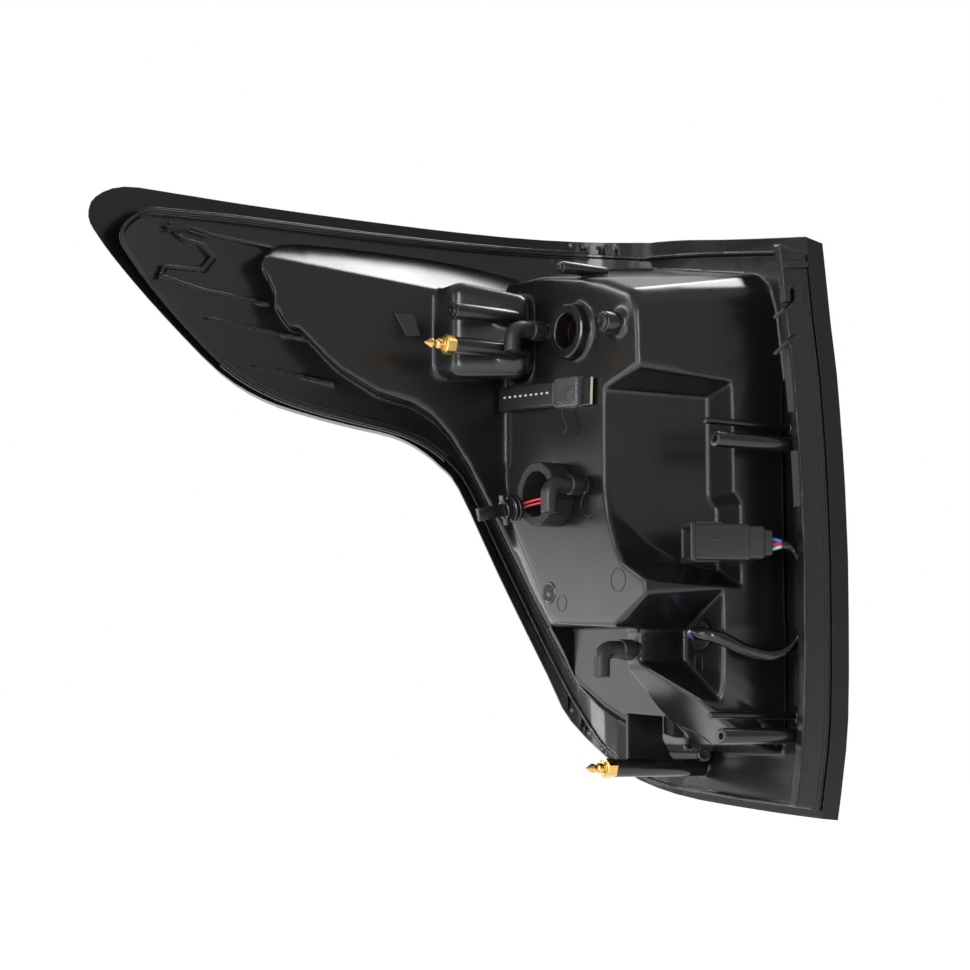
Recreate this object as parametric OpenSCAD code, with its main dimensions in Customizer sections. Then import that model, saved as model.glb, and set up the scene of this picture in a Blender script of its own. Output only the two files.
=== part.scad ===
// Right-hand wrap-around tail light cluster, with its lens outboard and to the rear.
// +X points to the rear of the car, +Y outboard, +Z up, in millimetres.
// The origin is in the middle of the upper ball stud's land. The stud points along -X.

/* [Lens] */
// Wall of the outer lens
lens_wall = 3; // [2:0.5:4]
// Depth of the lens rim, from the outer face to its glue flange
lens_rim = 12; // [10:0.5:12]
// Thickness of the lens glue flange
glue_flange = 2; // [1.5:0.25:3]

/* [Housing] */
// Wall of the moulded housing
wall = 2.6; // [2:0.2:3.4]
// Gap between the lens glue flange and the housing, filled by the seal
seal_gap = 2; // [1:0.5:3]
// Width of the lip round the housing flange
lip_w = 1.8; // [1.2:0.2:3]
// Height of the lip above the flange
lip_h = 3; // [1.5:0.5:5]
// X of the face that holds the bulb holders
bulb_face_x = 57; // [54:0.5:60]
// Height of the upstand along the inboard edge
edge_wall_h = 17; // [10:1:20]
// Height and depth of the step beside the lens, at the foot of the upstand
edge_step_h = 5; // [3:0.5:8]
// How far the foot of the upstand is set back
edge_step = 1.2; // [0.6:0.2:2]
// Width of the return along the upstand's front edge
edge_return_w = 6; // [4:0.5:8]

/* [Bulb holes] */
// Bore radius of the upper bulb hole
upper_hole_r = 9.8; // [8:0.1:11]
// Radius of the collar round the upper bulb hole
upper_collar_r = 15; // [13.5:0.25:16]
// Height of the collar round the upper bulb hole
upper_collar_h = 7.5; // [4:0.5:10]
// Bore radius of the lower bulb hole
lower_hole_r = 13; // [10:0.25:13.5]
// Radius of the foam ring on the lower bulb hole
ring_r = 18; // [16.5:0.25:18.5]
// Length of the foam ring on the lower bulb hole
ring_h = 14; // [8:0.5:15]

/* [Ball studs] */
// Across flats of the stud's hexagon
stud_hex = 10; // [8:0.5:11]
// Length of the stud's hexagon
stud_hex_l = 6.5; // [4:0.5:8]
// Radius of the land that the body grommet grips
stud_land_r = 2.8; // [2.2:0.1:3.2]
// Length of the land
stud_land_l = 3; // [2.5:0.5:5]
// Radius of the boss behind each stud
stud_boss_r = 4.8; // [4.2:0.1:5.6]

/* [Screw tubes and locating rods] */
// Outer radius of the screw tubes
tube_r = 4.2; // [3.6:0.1:5]
// Pilot bore radius of the screw tubes
tube_bore_r = 1.7; // [1.4:0.1:2.2]
// Depth of the pilot bore
tube_bore_l = 22; // [12:1:30]
// Radius of the locating rods
rod_r = 1.9; // [1.5:0.1:2.4]

/* [Vent elbows] */
// Outer radius of the elbow's rubber tube
elbow_r = 4.7; // [4:0.1:5]
// Radius of the elbow's collar
elbow_collar_r = 5.7; // [5.3:0.1:5.9]
// Radius of the vent nipple inside the elbow
nipple_r = 3; // [2.4:0.1:3.6]
// Distance from the face to the elbow's hanging leg
elbow_reach = 23.5; // [20:0.5:25]

/* [Connector] */
// Length of the connector shell
connector_l = 30; // [26:1:36]
// Width and height of the connector shell
connector_w = 19.5; // [18:0.5:22]
// Wall of the connector shell
connector_wall = 2; // [1.5:0.25:2.5]

/* [Module] */
// Length of the module's heat-shrink sleeve
sleeve_l = 54; // [40:1:56]
// Height of the sleeve
sleeve_w = 14; // [12:0.5:16]
// Thickness of the sleeve
sleeve_t = 7; // [6:0.5:9]

/* [Hidden] */

$fn = 48;
far = 400;
hair = 0.01;

// Every place below is measured from the seat of the upper ball stud's hexagon.
// The finished pieces are moved back so that the origin is in the middle of its land.
stud_flange_l = 1;
seat_x = stud_hex_l + stud_flange_l + stud_land_l / 2;

module placed() {
    translate([seat_x, 0, 0])
        children();
}

// Curves through chosen points

function blend_point(a, b, c, d, t) = 0.5 * (2 * b + (c - a) * t
    + (2 * a - 5 * b + 4 * c - d) * t * t + (3 * b - a - 3 * c + d) * t * t * t);

function open_curve(p, n) = let (m = len(p)) [
    for (i = [0 : m - 2]) let (
        a = i > 0 ? p[i - 1] : 2 * p[0] - p[1],
        d = i < m - 2 ? p[i + 2] : 2 * p[m - 1] - p[m - 2])
        for (k = [0 : n - 1]) blend_point(a, p[i], p[i + 1], d, k / n),
    p[m - 1]];

function unit(v) = v / norm(v);
function right_of(v) = [v[1], -v[0]];

// A path moved sideways, to its right
function moved_path(p, d) = let (m = len(p)) [for (i = [0 : m - 1])
    p[i] + d * right_of(unit(p[min(i + 1, m - 1)] - p[max(i - 1, 0)]))];

// A closed outline that runs clockwise, drawn in by d
function inset(p, d) = let (m = len(p)) [for (i = [0 : m - 1])
    p[i] + d * right_of(unit(p[(i + 1) % m] - p[(i + m - 1) % m]))];

function reversed(p) = [for (i = [len(p) - 1 : -1 : 0]) p[i]];

// The outer face of the lens, seen from above, from the wing tip to the inboard edge
lens_plan = open_curve([[-203, 56], [-143, 67], [-78, 73], [-13, 75], [47, 73], [92, 64],
    [127, 42], [149, 10], [159, -30], [164, -80], [164, -150]], 4);

// Outlines are drawn on an upright plane turned to face the inside of the corner.
// Their first number runs along that plane, and the second is Z.
view_turn = -34;
lens_outline = open_curve([[240, -262.5], [197, -258.2], [163, -254.1], [127, -247.5],
    [98, -234.2], [68, -206], [54, -178.8], [25.3, -120.4], [2.4, -71.8], [-8.6, -59],
    [-21.3, -49.5], [-36, -43.5], [-59.4, -39.7], [-82.2, -35.5], [-105.5, -29.4],
    [-127.7, -16.8], [-154.9, 9.9], [-174.7, 32.1], [-185.5, 46.5], [-190, 56],
    [-187, 67], [-174, 75.5], [-151, 77.2], [-116, 77.7], [-35, 78.8], [40, 79],
    [98, 75.8], [126, 71.6], [152, 64.5], [177, 58], [200, 52.4], [240, 43]], 3);
rim_outline = open_curve([[240, -256], [188, -253], [145, -247.3], [112, -240.5],
    [88, -223.9], [74, -204.1], [60, -179.3], [31.6, -121.5], [9, -74.2], [-1.4, -60],
    [-14, -50], [-30.8, -43], [-58.2, -38], [-80.7, -33.8], [-103.6, -26.8],
    [-125.4, -14], [-152, 13], [-170.5, 37], [-174.6, 47], [-171, 56], [-163, 63],
    [-152, 65.2], [-114, 67.9], [-34, 69.6], [35, 70.5], [86, 68], [130, 60.8],
    [170, 50.6], [188, 45.6], [240, 32]], 3);
step_outline = [[-104.7, 42.4], [-101, 52], [-96, 56.5], [-80, 59.7], [-42, 60.6],
    [-12, 61.7], [50, 62.5], [108, 59], [182, 43.5], [240, 34], [240, -240],
    [188, -236], [153, -231], [123, -225.8], [99.4, -207], [86, -198], [70, -183.4],
    [45.5, -136], [20, -83], [9, -61.6], [-1.9, -45], [-12, -34], [-23.5, -27.5],
    [-43, -22.5], [-62.6, -12], [-70.7, -5], [-84.5, 8.6], [-90, 9.4], [-97.6, 20],
    [-97.6, 28]];

// The inboard edge, seen along X: its Y at each height
edge_line = open_curve([[-131.5, 90], [-132, 50], [-134.5, -48], [-137.3, -120],
    [-137.6, -185], [-136.5, -260], [-136, -280]], 2);

// The rear of the lens is a barrel, seen along Y: its X at each height
rear_line = open_curve([[149, 90], [153.5, 56], [158.2, 7], [161.4, -20], [163.6, -60],
    [164.2, -100], [163.6, -150], [162.4, -205], [158.8, -234], [154.8, -258],
    [150, -280]], 2);

flange_back = lens_rim + seal_gap;
flange_front = flange_back + wall;

// The bulb hole axes and the other places on the bulb face, as Y and Z
upper_hole = [-37, 7.5];
lower_hole = [-17.5, -81.5];
upper_vent = [-9, 11.5];
middle_vent = [-44, -78.5];
lower_vent = [-66, -168.5];
lower_vent_x = bulb_face_x + 18;
upper_stud = [0, 0, 0];
lower_stud = [79, -39.7, -232];

// Upper and lower screw tubes and rods: tip, then the X of their root
upper_tube = [84, -122.8, -58.8];
lower_tube = [84, -125.7, -214.6];
upper_rod = [84, -114.6, -48.1];
lower_rod = [84, -116.7, -203.9];
rod_pad_x = 143;
rod_pad_r = 4.4;
root_x = 147.6;

// Upright plane solids

module outline_prism(points) {
    rotate([90, 0, view_turn])
        translate([0, 0, -far / 2])
            linear_extrude(far)
                polygon(points);
}

module edge_prism(g) {
    rotate([90, 0, 90])
        translate([0, 0, -far])
            linear_extrude(2 * far)
                polygon(concat([[far, 90], [far, -280]],
                    [for (p = reversed(edge_line)) p + [g, 0]]));
}

module plan_solid(points) {
    translate([0, 0, -far])
        linear_extrude(2 * far)
            polygon(points);
}

// All that lies deeper than d below the lens face
module below_face(d, inner) {
    intersection() {
        plan_solid(concat(moved_path(lens_plan, d), inner));
        translate([0, far, 0])
            rotate([90, 0, 0])
                linear_extrude(2 * far)
                    polygon(concat([for (p = rear_line) p - [d, 0]], [[-far, -280], [-far, 90]]));
    }
}

inner_corners = [[60, -150], [-120, -60], [-203, 0]];
wide_corners = [[60, -170], [-140, -80], [-230, -10]];

module plan_band(from, to) {
    difference() {
        below_face(from, inner_corners);
        below_face(to, wide_corners);
    }
}

module lens_sheet(from, to, g) {
    intersection() {
        plan_band(from, to);
        outline_prism(inset(lens_outline, g));
        edge_prism(g);
    }
}

module rim_sheet(from, to, g) {
    intersection() {
        plan_band(from, to);
        outline_prism(inset(rim_outline, g));
        edge_prism(g);
    }
}

// Lens side

module outer_lens() {
    color("#7c1014")
    placed()
        difference() {
            lens_sheet(0, lens_rim, 0);
            lens_sheet(lens_wall, lens_rim - glue_flange, lens_wall);
            rim_sheet(lens_rim - glue_flange - hair, lens_rim + 1, 4);
        }
}

module lens_seal() {
    color("#2a2a2a")
    placed()
        difference() {
            rim_sheet(lens_rim, flange_back, 1);
            rim_sheet(lens_rim - 1, flange_back + 1, 3);
        }
}

module inner_bezel() {
    color("#1b1b1d")
    placed()
        difference() {
            rim_sheet(lens_wall + 1.5, flange_back, 6);
            rim_sheet(lens_wall + 3.5, flange_back + 1, 8);
            translate([100, upper_hole[0], upper_hole[1]])
                rotate([0, 90, 0])
                    cylinder(h = 80, r = 26);
            translate([100, lower_hole[0] - 10, lower_hole[1]])
                rotate([0, 90, 0])
                    cylinder(h = 80, r = 30);
        }
}

module light_guide() {
    color("#d9dde0")
    placed()
        intersection() {
            plan_band(flange_back - 6, flange_back - 1.6);
            outline_prism([[-140, 22], [-140, 30], [60, 44], [60, 36]]);
        }
}

module led_board() {
    color("#2d5a3a")
    placed()
        intersection() {
            plan_band(flange_back - 1.6, flange_back);
            outline_prism([[-146, 24], [-142, 46], [-106, 52], [-106, 14], [-128, 14]]);
        }
}

module reflector(place, neck_r, mouth_r, depth) {
    wall_t = 2;
    translate([bulb_face_x + wall, place[0], place[1]])
        rotate([0, 90, 0])
            rotate_extrude()
                polygon(concat(
                    [for (k = [0 : 8]) [neck_r + (mouth_r - neck_r) * sqrt(k / 8),
                        depth * k / 8]],
                    [for (k = [8 : -1 : 0]) [neck_r + wall_t
                        + (mouth_r - neck_r) * sqrt(k / 8), depth * k / 8 - (k > 0 ? wall_t : 0)]]));
}

module upper_reflector() {
    color("#c9ccd0")
    placed()
        reflector(upper_hole, upper_collar_r - 3, 30, 50);
}

module lower_reflector() {
    color("#c9ccd0")
    placed()
        reflector(lower_hole, lower_hole_r + 1.5, 34, 50);
}

// The moulded housing

// Outline of the bucket's front face, seen along X, clockwise
front_face = [[33, -30], [29, -92], [-8, -147], [-20, -153], [-90, -157], [-98, -148],
    [-97, -120], [-93, -40], [-92, 12], [-86, 24], [-60, 34], [-4, 43.5], [32, 42]];
rear_face = [[44, -90], [30, -150], [-10, -210], [-60, -226], [-98, -228],
    [-107, -218], [-109, -200], [-109, 16], [-105, 31], [-95, 40], [-60, 47], [-20, 55],
    [44, 60]];
rear_face_x = bulb_face_x + 87;

module plate(points, r, x) {
    translate([x, 0, 0])
        rotate([90, 0, 90])
            linear_extrude(0.5)
                for (p = points)
                    translate(p)
                        circle(r = r);
}

// The deep bucket, as a draft between its front and rear outlines
module bucket(g) {
    intersection() {
        hull() {
            plate(inset(front_face, 4 + g), 4, bulb_face_x + g);
            plate(inset(rear_face, 8 + g), 8, rear_face_x);
        }
        below_face(g > 0 ? flange_back - 4 : flange_back + hair, inner_corners);
        outline_prism(inset(step_outline, g));
    }
}

// The bucket's lower end, which carries the elbow's face and the harness alcove
low_front = [[-18, -150], [-22, -206], [-94, -206], [-98.5, -150]];
low_rear = [[28, -150], [4, -226], [-36, -240], [-98, -240], [-105, -230], [-106.3, -150]];

module low_bucket(g) {
    intersection() {
        hull() {
            plate(inset(low_front, 4 + g), 4, alcove_x + g);
            plate(inset(low_rear, 8 + g), 8, rear_face_x);
        }
        below_face(g > 0 ? flange_back - 4 : flange_back + hair, inner_corners);
        outline_prism(inset(step_outline, g));
    }
}

// The raised panel along the flank
module plateau(g) {
    intersection() {
        plan_solid(concat(moved_path(lens_plan, g > 0 ? flange_back - 4 : flange_back + hair),
            [[bulb_face_x + 80, -40 + 1.4 * g], [bulb_face_x + 4, 31 + 1.4 * g],
            [bulb_face_x - 24, 33.5 + g], [-110, 46 + g]]));
        outline_prism(inset(step_outline, g));
        // Sloping shoulder along the top
        rotate([90, 0, 90])
            translate([0, 0, -far / 2])
                linear_extrude(far)
                    polygon([[120, 120 - g], [-20 + g, -16 - g], [-20 + g, -far], [120, -far]]);
    }
}

// Rounded box behind the upper ball stud
module stud_box(g) {
    r = 8 - g;
    hull() {
        for (z = [-6, 33])
            translate([21, 24, z])
                sphere(r = r, $fn = 24);
        for (z = [-6, 26])
            translate([47, 5, z])
                sphere(r = r, $fn = 24);
        for (z = [-6, 33])
            translate([14, 38, z])
                sphere(r = r - 3, $fn = 24);
        for (z = [-6, 30])
            translate([bulb_face_x + 8, 20, z])
                sphere(r = r - 2, $fn = 24);
    }
}

// Cuts that are drawn along X, from one X to another
module along_x(from, to, points) {
    translate([from, 0, 0])
        rotate([90, 0, 90])
            linear_extrude(to - from)
                polygon(points);
}

pocket_right_x = bulb_face_x + 55;
alcove_x = bulb_face_x + 18;
alcove_right_x = bulb_face_x + 48;
pocket_tilt = 8.5;

// Cuts that are drawn along Y, as X and Z
module along_y(points) {
    translate([0, 60, 0])
        rotate([90, 0, 0])
            linear_extrude(260)
                polygon(points);
}

// Hollow in the side wall: its floor slants inboard and its ceiling slants down
module upper_pocket(g) {
    right = pocket_right_x + g;
    intersection() {
        plan_solid([[bulb_face_x - 40, -58 + g], [bulb_face_x, -62 + g],
            [right + 8, -86 + g], [right + 8, -150], [bulb_face_x - 40, -150]]);
        along_y([[0, 20], [right, 20], [right, -84 + g], [right + 4.5, -91 + g],
            [right + 4.5, -160], [0, -160]]);
        translate([bulb_face_x, 0, -22 + g])
            rotate([0, pocket_tilt, 0])
                along_x(-60, 90, [[-50, -8], [-66, -4], [-91.5, 2.8], [-150, 18],
                    [-150, -160], [-50, -160]]);
        along_x(0, 150, [[-50, 30], [-50, -70], [-62 + g, -77], [-65 + g, -96],
            [-72 + g, -113 - g], [-78, -122 - g], [-99, -133 - g], [-150, -150 - g],
            [-150, 30]]);
    }
}

// Funnel-shaped alcove with the harness hole in its right wall
module alcove(g) {
    along_x(0, alcove_right_x + g, [[-70 + g, -157 + g], [-70 + g, -174.5 - g],
        [-100, -196 - g], [-140, -225 - g], [-140, -115 + g], [-100, -139 + g]]);
}

// Room for the lower elbow, cut back to a face that slants rearward
module elbow_pocket(g) {
    intersection() {
        plan_solid([[0, 70], [bulb_face_x + 26 + g, 40], [bulb_face_x + 60 + g, -45],
            [bulb_face_x + 60 + g, -56 - g], [alcove_x + g, -56 - g],
            [alcove_x + g, -150], [0, -150]]);
        along_x(0, 180, [[70, -153 + g], [-16, -153 + g], [-83, -158 + g], [-150, -160 + g],
            [-150, -280], [70, -280]]);
    }
}

// Block between the alcove and the elbow's room, which carries the lower nipple
module vent_block(g) {
    along_x(alcove_x + g, bulb_face_x + 90, [[-56 - g, -157 - g], [-56 - g, -300],
        [-90, -300], [-90, -157 - g]]);
}

// The bucket's lower end leans back to the flange
module lean_cut(g) {
    along_y([[0, -178 + g], [alcove_x + g, -178 + g], [alcove_x + 21.5 + g, -199.4 + g],
        [alcove_x + 29 + g, -205.3 + g], [alcove_x + 36.7 + g, -211.3 + g],
        [alcove_x + 48.5 + g, -219.5 + g], [alcove_x + 64 + g, -223.4 + g],
        [200, -228 + g], [200, -300], [0, -300]]);
}

// The whole outer form with g = 0, and the hollow inside with g = wall
module housing_form(g) {
    difference() {
        union() {
            bucket(g);
            low_bucket(g);
            plateau(g);
            stud_box(g);
        }
        upper_pocket(g);
        alcove(g);
        difference() {
            elbow_pocket(g);
            vent_block(g);
        }
        lean_cut(g);
    }
}

// Upstand along the inboard edge, set back beside the lens, with a return for the foam
module edge_wall() {
    top = flange_back + edge_wall_h;
    intersection() {
        outline_prism(inset(rim_outline, 0.5));
        union() {
            edge_layer(flange_back, flange_back + edge_step_h, edge_step, wall + edge_step);
            edge_layer(flange_back + edge_step_h - hair, top, 0, wall + edge_step);
            edge_layer(top - wall, top, 0, edge_return_w);
        }
    }
}

module edge_layer(from, to, outside, inside) {
    intersection() {
        plan_band(from, to);
        difference() {
            edge_prism(outside);
            edge_prism(inside);
        }
    }
}

module flange() {
    rim_sheet(flange_back, flange_front, 0);
    difference() {
        rim_sheet(flange_back, flange_front + lip_h, 0);
        rim_sheet(flange_back - 1, flange_front + lip_h + 1, lip_w);
    }
}

module x_rod(tip, to, r) {
    translate(tip)
        rotate([0, 90, 0])
            cylinder(h = to - tip[0], r = r);
}

module nipple(place, x) {
    translate([x - elbow_reach + 9, place[0], place[1]])
        rotate([0, 90, 0])
            cylinder(h = elbow_reach - 9 + hair, r = nipple_r);
}

// Places of the small screws: X of the head seat, Y, Z, the boss radius, and its length
screws = [[47, -36.5, 43, 3.4, 30], [1, 1.6, 19.5, 4.6, 45], [45.5, -76.5, 6.5, 5.9, 13]];

module rear_housing() {
    color("#1a1a1c")
    placed()
        difference() {
            union() {
                flange();
                edge_wall();
                housing_form(0);
                x_rod(upper_stud, 50, stud_boss_r);
                x_rod(lower_stud, root_x - 4, stud_boss_r);
                x_rod([bulb_face_x - upper_collar_h, upper_hole[0], upper_hole[1]],
                    bulb_face_x + 1, upper_collar_r);
                for (s = screws)
                    x_rod([s[0], s[1], s[2]], s[0] + s[4], s[3]);
                for (t = [upper_tube, lower_tube])
                    x_rod(t, root_x, tube_r);
                for (t = [upper_rod, lower_rod]) {
                    x_rod(t, root_x, rod_r);
                    x_rod([rod_pad_x, t[1], t[2]], root_x, rod_pad_r);
                }
                nipple(upper_vent, bulb_face_x);
                nipple(middle_vent, bulb_face_x);
                nipple(lower_vent, lower_vent_x);
                wing_details();
                lower_gusset();
                plug_bracket();
            }
            difference() {
                housing_form(wall);
                x_rod(upper_stud, 50, stud_boss_r);
            }
            x_rod([0, upper_hole[0], upper_hole[1]], bulb_face_x + wall + 1, upper_hole_r);
            x_rod([0, lower_hole[0], lower_hole[1]], bulb_face_x + wall + 1, lower_hole_r);
            for (t = [upper_tube, lower_tube])
                x_rod([t[0] - 1, t[1], t[2]], t[0] + tube_bore_l, tube_bore_r);
            x_rod(harness_exit - [5, 0, 0], alcove_right_x + wall + 1, harness_hole_r);
        }
}

// Hook, ribs and fin on the wing
module wing_details() {
    intersection() {
        plan_band(flange_back, flange_front + 2.5);
        union() {
            difference() {
                outline_prism([[-143, 59.5], [-153, 57], [-143, 50], [-136, 49], [-131, 44],
                    [-136, 37], [-154, 36], [-156, 28], [-135, 24], [-100, 22],
                    [-100, 55], [-130, 57]]);
                outline_prism([[-140, 57.5], [-151, 55.5], [-142, 52], [-134, 51], [-128.5, 44],
                    [-134, 35], [-152.5, 34], [-154, 30.5], [-134, 26], [-98, 24],
                    [-98, 53], [-130, 55]]);
            }
            outline_prism([[-132, 10], [-132, 11.2], [-80, 6.2], [-80, 5]]);
            outline_prism([[-108, -13], [-108, -11.8], [-66, -17.2], [-66, -18.4]]);
        }
    }
}

// Bracket that carries the plug, out from the pocket's floor
module plug_bracket() {
    on_plug()
        translate([9, connector_w / 2, -4])
            cube([10, 30, 8]);
}

module lower_gusset() {
    translate([0, lower_stud[1] + 1, 0])
        rotate([90, 0, 0])
            linear_extrude(2)
                polygon([[lower_stud[0] + 9.5, lower_stud[2]], [lower_stud[0] + 9.5, -202],
                    [113, -203.5], [113, -216], [119, -226], [128, lower_stud[2]]]);
}

// Ball studs

module ball_stud(place) {
    neck_r = stud_land_r * 0.62;
    neck_z = stud_flange_l + stud_land_l + 1.4;
    translate(place)
        rotate([0, -90, 0])
            union() {
                cylinder(h = stud_hex_l, r = stud_hex / sqrt(3), $fn = 6);
                translate([0, 0, stud_hex_l])
                    rotate_extrude()
                        polygon([[0, 0], [stud_land_r + 1, 0],
                            [stud_land_r + 0.9, stud_flange_l], [stud_land_r, stud_flange_l],
                            [stud_land_r, neck_z - 1.4], [neck_r, neck_z],
                            [neck_r, neck_z + 1.2], [stud_land_r * 0.93, neck_z + 2.4],
                            [stud_land_r * 0.93, neck_z + 3.2], [0.7, neck_z + 7],
                            [0, neck_z + 7.2]]);
            }
}

module upper_ball_stud() {
    color("#c79a45")
    placed()
        ball_stud(upper_stud);
}

module lower_ball_stud() {
    color("#c79a45")
    placed()
        ball_stud(lower_stud);
}

// Vent elbows

module vent_elbow(place, x, drop) {
    bend = 7;
    bore = nipple_r;
    translate([x, place[0], place[1]])
        difference() {
            union() {
                translate([-elbow_reach + bend, 0, 0])
                    rotate([0, 90, 0])
                        cylinder(h = elbow_reach - bend - 3, r = elbow_r);
                translate([-elbow_reach + bend + 5.5, 0, 0])
                    rotate([0, 90, 0])
                        cylinder(h = 8, r = elbow_collar_r);
                translate([-elbow_reach + bend, 0, -bend])
                    rotate([90, 0, 180])
                        rotate_extrude(angle = 90)
                            translate([bend, 0])
                                circle(r = elbow_r);
                translate([-elbow_reach, 0, -drop])
                    cylinder(h = drop - bend, r = elbow_r);
            }
            translate([-elbow_reach + 9, 0, 0])
                rotate([0, 90, 0])
                    cylinder(h = elbow_reach, r = bore);
            translate([-elbow_reach, 0, -drop - 1])
                cylinder(h = 9, r = elbow_r - 1.6);
        }
}

module upper_vent_elbow() {
    color("#202022")
    placed()
        vent_elbow(upper_vent, bulb_face_x, 13);
}

module middle_vent_elbow() {
    color("#202022")
    placed()
        vent_elbow(middle_vent, bulb_face_x, 16);
}

module lower_vent_elbow() {
    color("#202022")
    placed()
        vent_elbow(lower_vent, lower_vent_x, 15);
}

// Lower bulb hole: foam ring, hanging holder and its wires

module foam_ring() {
    color("#4a4a4d")
    placed()
        translate([bulb_face_x - ring_h, lower_hole[0], lower_hole[1]])
            rotate([0, 90, 0])
                difference() {
                    cylinder(h = ring_h, r = ring_r, $fn = 12);
                    translate([0, 0, -1])
                        cylinder(h = ring_h + 2, r = lower_hole_r);
                }
}

holder = [36, -6, -89];
holder_droop = 12;

module bulb_holder() {
    color("#1d1d1f")
    placed()
        translate(holder)
            rotate([0, -holder_droop, 0])
                union() {
                    translate([-3, 0, 0])
                        rotate([0, 90, 0])
                            cylinder(h = 5.5, r = 7.5);
                    translate([-7, 0, 0])
                        rotate([0, 90, 0])
                            cylinder(h = 4.5, r = 5.5);
                    translate([-24, -1.4, -3.6])
                        cube([18, 2.8, 7.2]);
                    translate([-7, -2, -8.4])
                        cube([2.6, 4, 16.8]);
                }
}

module sweep(path, radii, sides) {
    n = len(path);
    tangents = [for (i = [0 : n - 1]) unit(path[min(i + 1, n - 1)] - path[max(i - 1, 0)])];
    rings = [for (i = [0 : n - 1]) let (
        t = tangents[i],
        u = unit(cross(t, [0.2, 0.9, 0.38])),
        v = cross(t, u))
        [for (k = [0 : sides - 1]) path[i] + radii[i] * (cos(360 * k / sides) * u
            + sin(360 * k / sides) * v)]];
    points = [for (ring = rings) for (p = ring) p];
    faces = concat(
        [[for (k = [0 : sides - 1]) k]],
        [for (i = [0 : n - 2]) for (k = [0 : sides - 1]) let (m = (k + 1) % sides)
            [i * sides + k, (i + 1) * sides + k, (i + 1) * sides + m, i * sides + m]],
        [[for (k = [sides - 1 : -1 : 0]) (n - 1) * sides + k]]);
    polyhedron(points = points, faces = faces, convexity = 6);
}

holder_wire_d = 1.6;
front_wire = open_curve([[38.3, -6, -89.4], [41.5, -7.2, -88.6], [45, -10, -87.2],
    [49, -14, -86], [53, -18, -85.4], [57.5, -20.6, -85], [63, -21.5, -85]], 3);
rear_wire = open_curve([[38.3, -6, -87.2], [41.5, -7.2, -86.4], [45, -10, -85],
    [49, -14, -83.8], [53, -18, -83.2], [57.5, -20.6, -82.8], [63, -21.5, -82.8]], 3);

module holder_wire_front() {
    color("#c4161c")
    placed()
        sweep(front_wire, [for (p = front_wire) holder_wire_d / 2], 8);
}

module holder_wire_rear() {
    color("#c4161c")
    placed()
        sweep(rear_wire, [for (p = rear_wire) holder_wire_d / 2], 8);
}

// Bar across the throat of the lower reflector, where the holder's wires end
module socket_bridge() {
    color("#2b2b2d")
    placed()
        intersection() {
            translate([63, -24.5, lower_hole[1] - 20])
                cube([5, 6, 40]);
            translate([63, lower_hole[0], lower_hole[1]])
                rotate([0, 90, 0])
                    cylinder(h = 5, r = lower_hole_r + 5.4);
        }
}

// Harness, grommet and connector

cable_d = 8;
wires_d = 4.4;
harness_hole_r = 6;
harness_exit = [alcove_right_x, -85.5, -160.5];
cable_route = open_curve([harness_exit, [101, -85.5, -160.5], [96.5, -86.9, -160.4],
    [93.2, -90.6, -160.2], [92, -96.5, -160.2], [93.3, -103, -160.8], [96.9, -108.2, -162.4],
    [102.5, -111.7, -165.2], [109.5, -113.8, -168.4], [117.5, -116, -170.8],
    [125.5, -118.6, -171.8], [132.7, -121, -170.2], [138.3, -123.2, -165.7],
    [141.6, -124.6, -159.2], [142.5, -125.4, -151], [142.6, -125.8, -141],
    [142.5, -126.2, -131], [141.3, -126.9, -124],
    [138, -127.1, -118.2], [133.1, -126.6, -114.2], [126.9, -124.8, -112.6]], 2);
// Only the bare wires come out of the hole; the sleeve starts after this many points
sleeve_start = 10;
cable_radii = [for (i = [0 : len(cable_route) - 1]) (i < sleeve_start ? wires_d : cable_d) / 2];

module harness_cable() {
    color("#0e0e10")
    placed()
        sweep(cable_route, cable_radii, 10);
}

module harness_grommet() {
    color("#2c2c2e")
    placed()
        translate(harness_exit - [1.5, 0, 0])
            rotate([0, 90, 0])
                difference() {
                    union() {
                        cylinder(h = 1.5, r = 8);
                        translate([0, 0, 1.5])
                            cylinder(h = wall, r = harness_hole_r);
                    }
                    translate([0, 0, -1])
                        cylinder(h = 8, r = wires_d / 2);
                }
}

// The plug's own place: its mouth at the origin, its wires leaving along X
connector = [80.9, -105.1, -112.6];
connector_yaw = -23.2;
cap_l = 9.5;
neck_l = 4.5;
tail_l = 6;

module on_plug() {
    translate(connector)
        rotate([0, 0, connector_yaw])
            children();
}

module connector_shell() {
    w = connector_w;
    color("#232325")
    placed()
        on_plug()
            difference() {
                union() {
                    translate([0, -w / 2, -w / 2])
                        cube([connector_l, w, w]);
                    translate([-2, -w / 2 - 1, -w / 2 - 1])
                        cube([3, w + 1, w + 2]);
                }
                translate([-3, -w / 2 + connector_wall, -w / 2 + connector_wall])
                    cube([connector_l - 7, w - 2 * connector_wall, w - 2 * connector_wall]);
            }
}

module connector_cap() {
    w = connector_w - 2;
    color("#1c1c1e")
    placed()
        on_plug()
            translate([connector_l, 0, 0])
                union() {
                    translate([0, -w / 2, -w / 2])
                        cube([cap_l, w, w]);
                    translate([cap_l, -w / 2 + 2, -w / 2 + 2])
                        cube([neck_l, w - 4, w - 4]);
                }
}

module connector_terminals() {
    color("#b9bcc0")
    placed()
        on_plug()
            for (y = [-5, 0, 5])
                for (z = [-3.5, 3.5])
                    translate([8, y - 0.9, z - 0.4])
                        cube([connector_l - 18, 1.8, 0.8]);
}

module connector_wires() {
    color("#2f6fbf")
    placed()
        on_plug()
            for (z = [-2.6, 0, 2.6])
                translate([connector_l + cap_l + neck_l, 0, z])
                    rotate([0, 90, 0])
                        cylinder(h = tail_l, r = 1.1);
}

// Control module: a board in heat-shrink sleeve, lying on the bulb face

module_tilt = 3;

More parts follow.
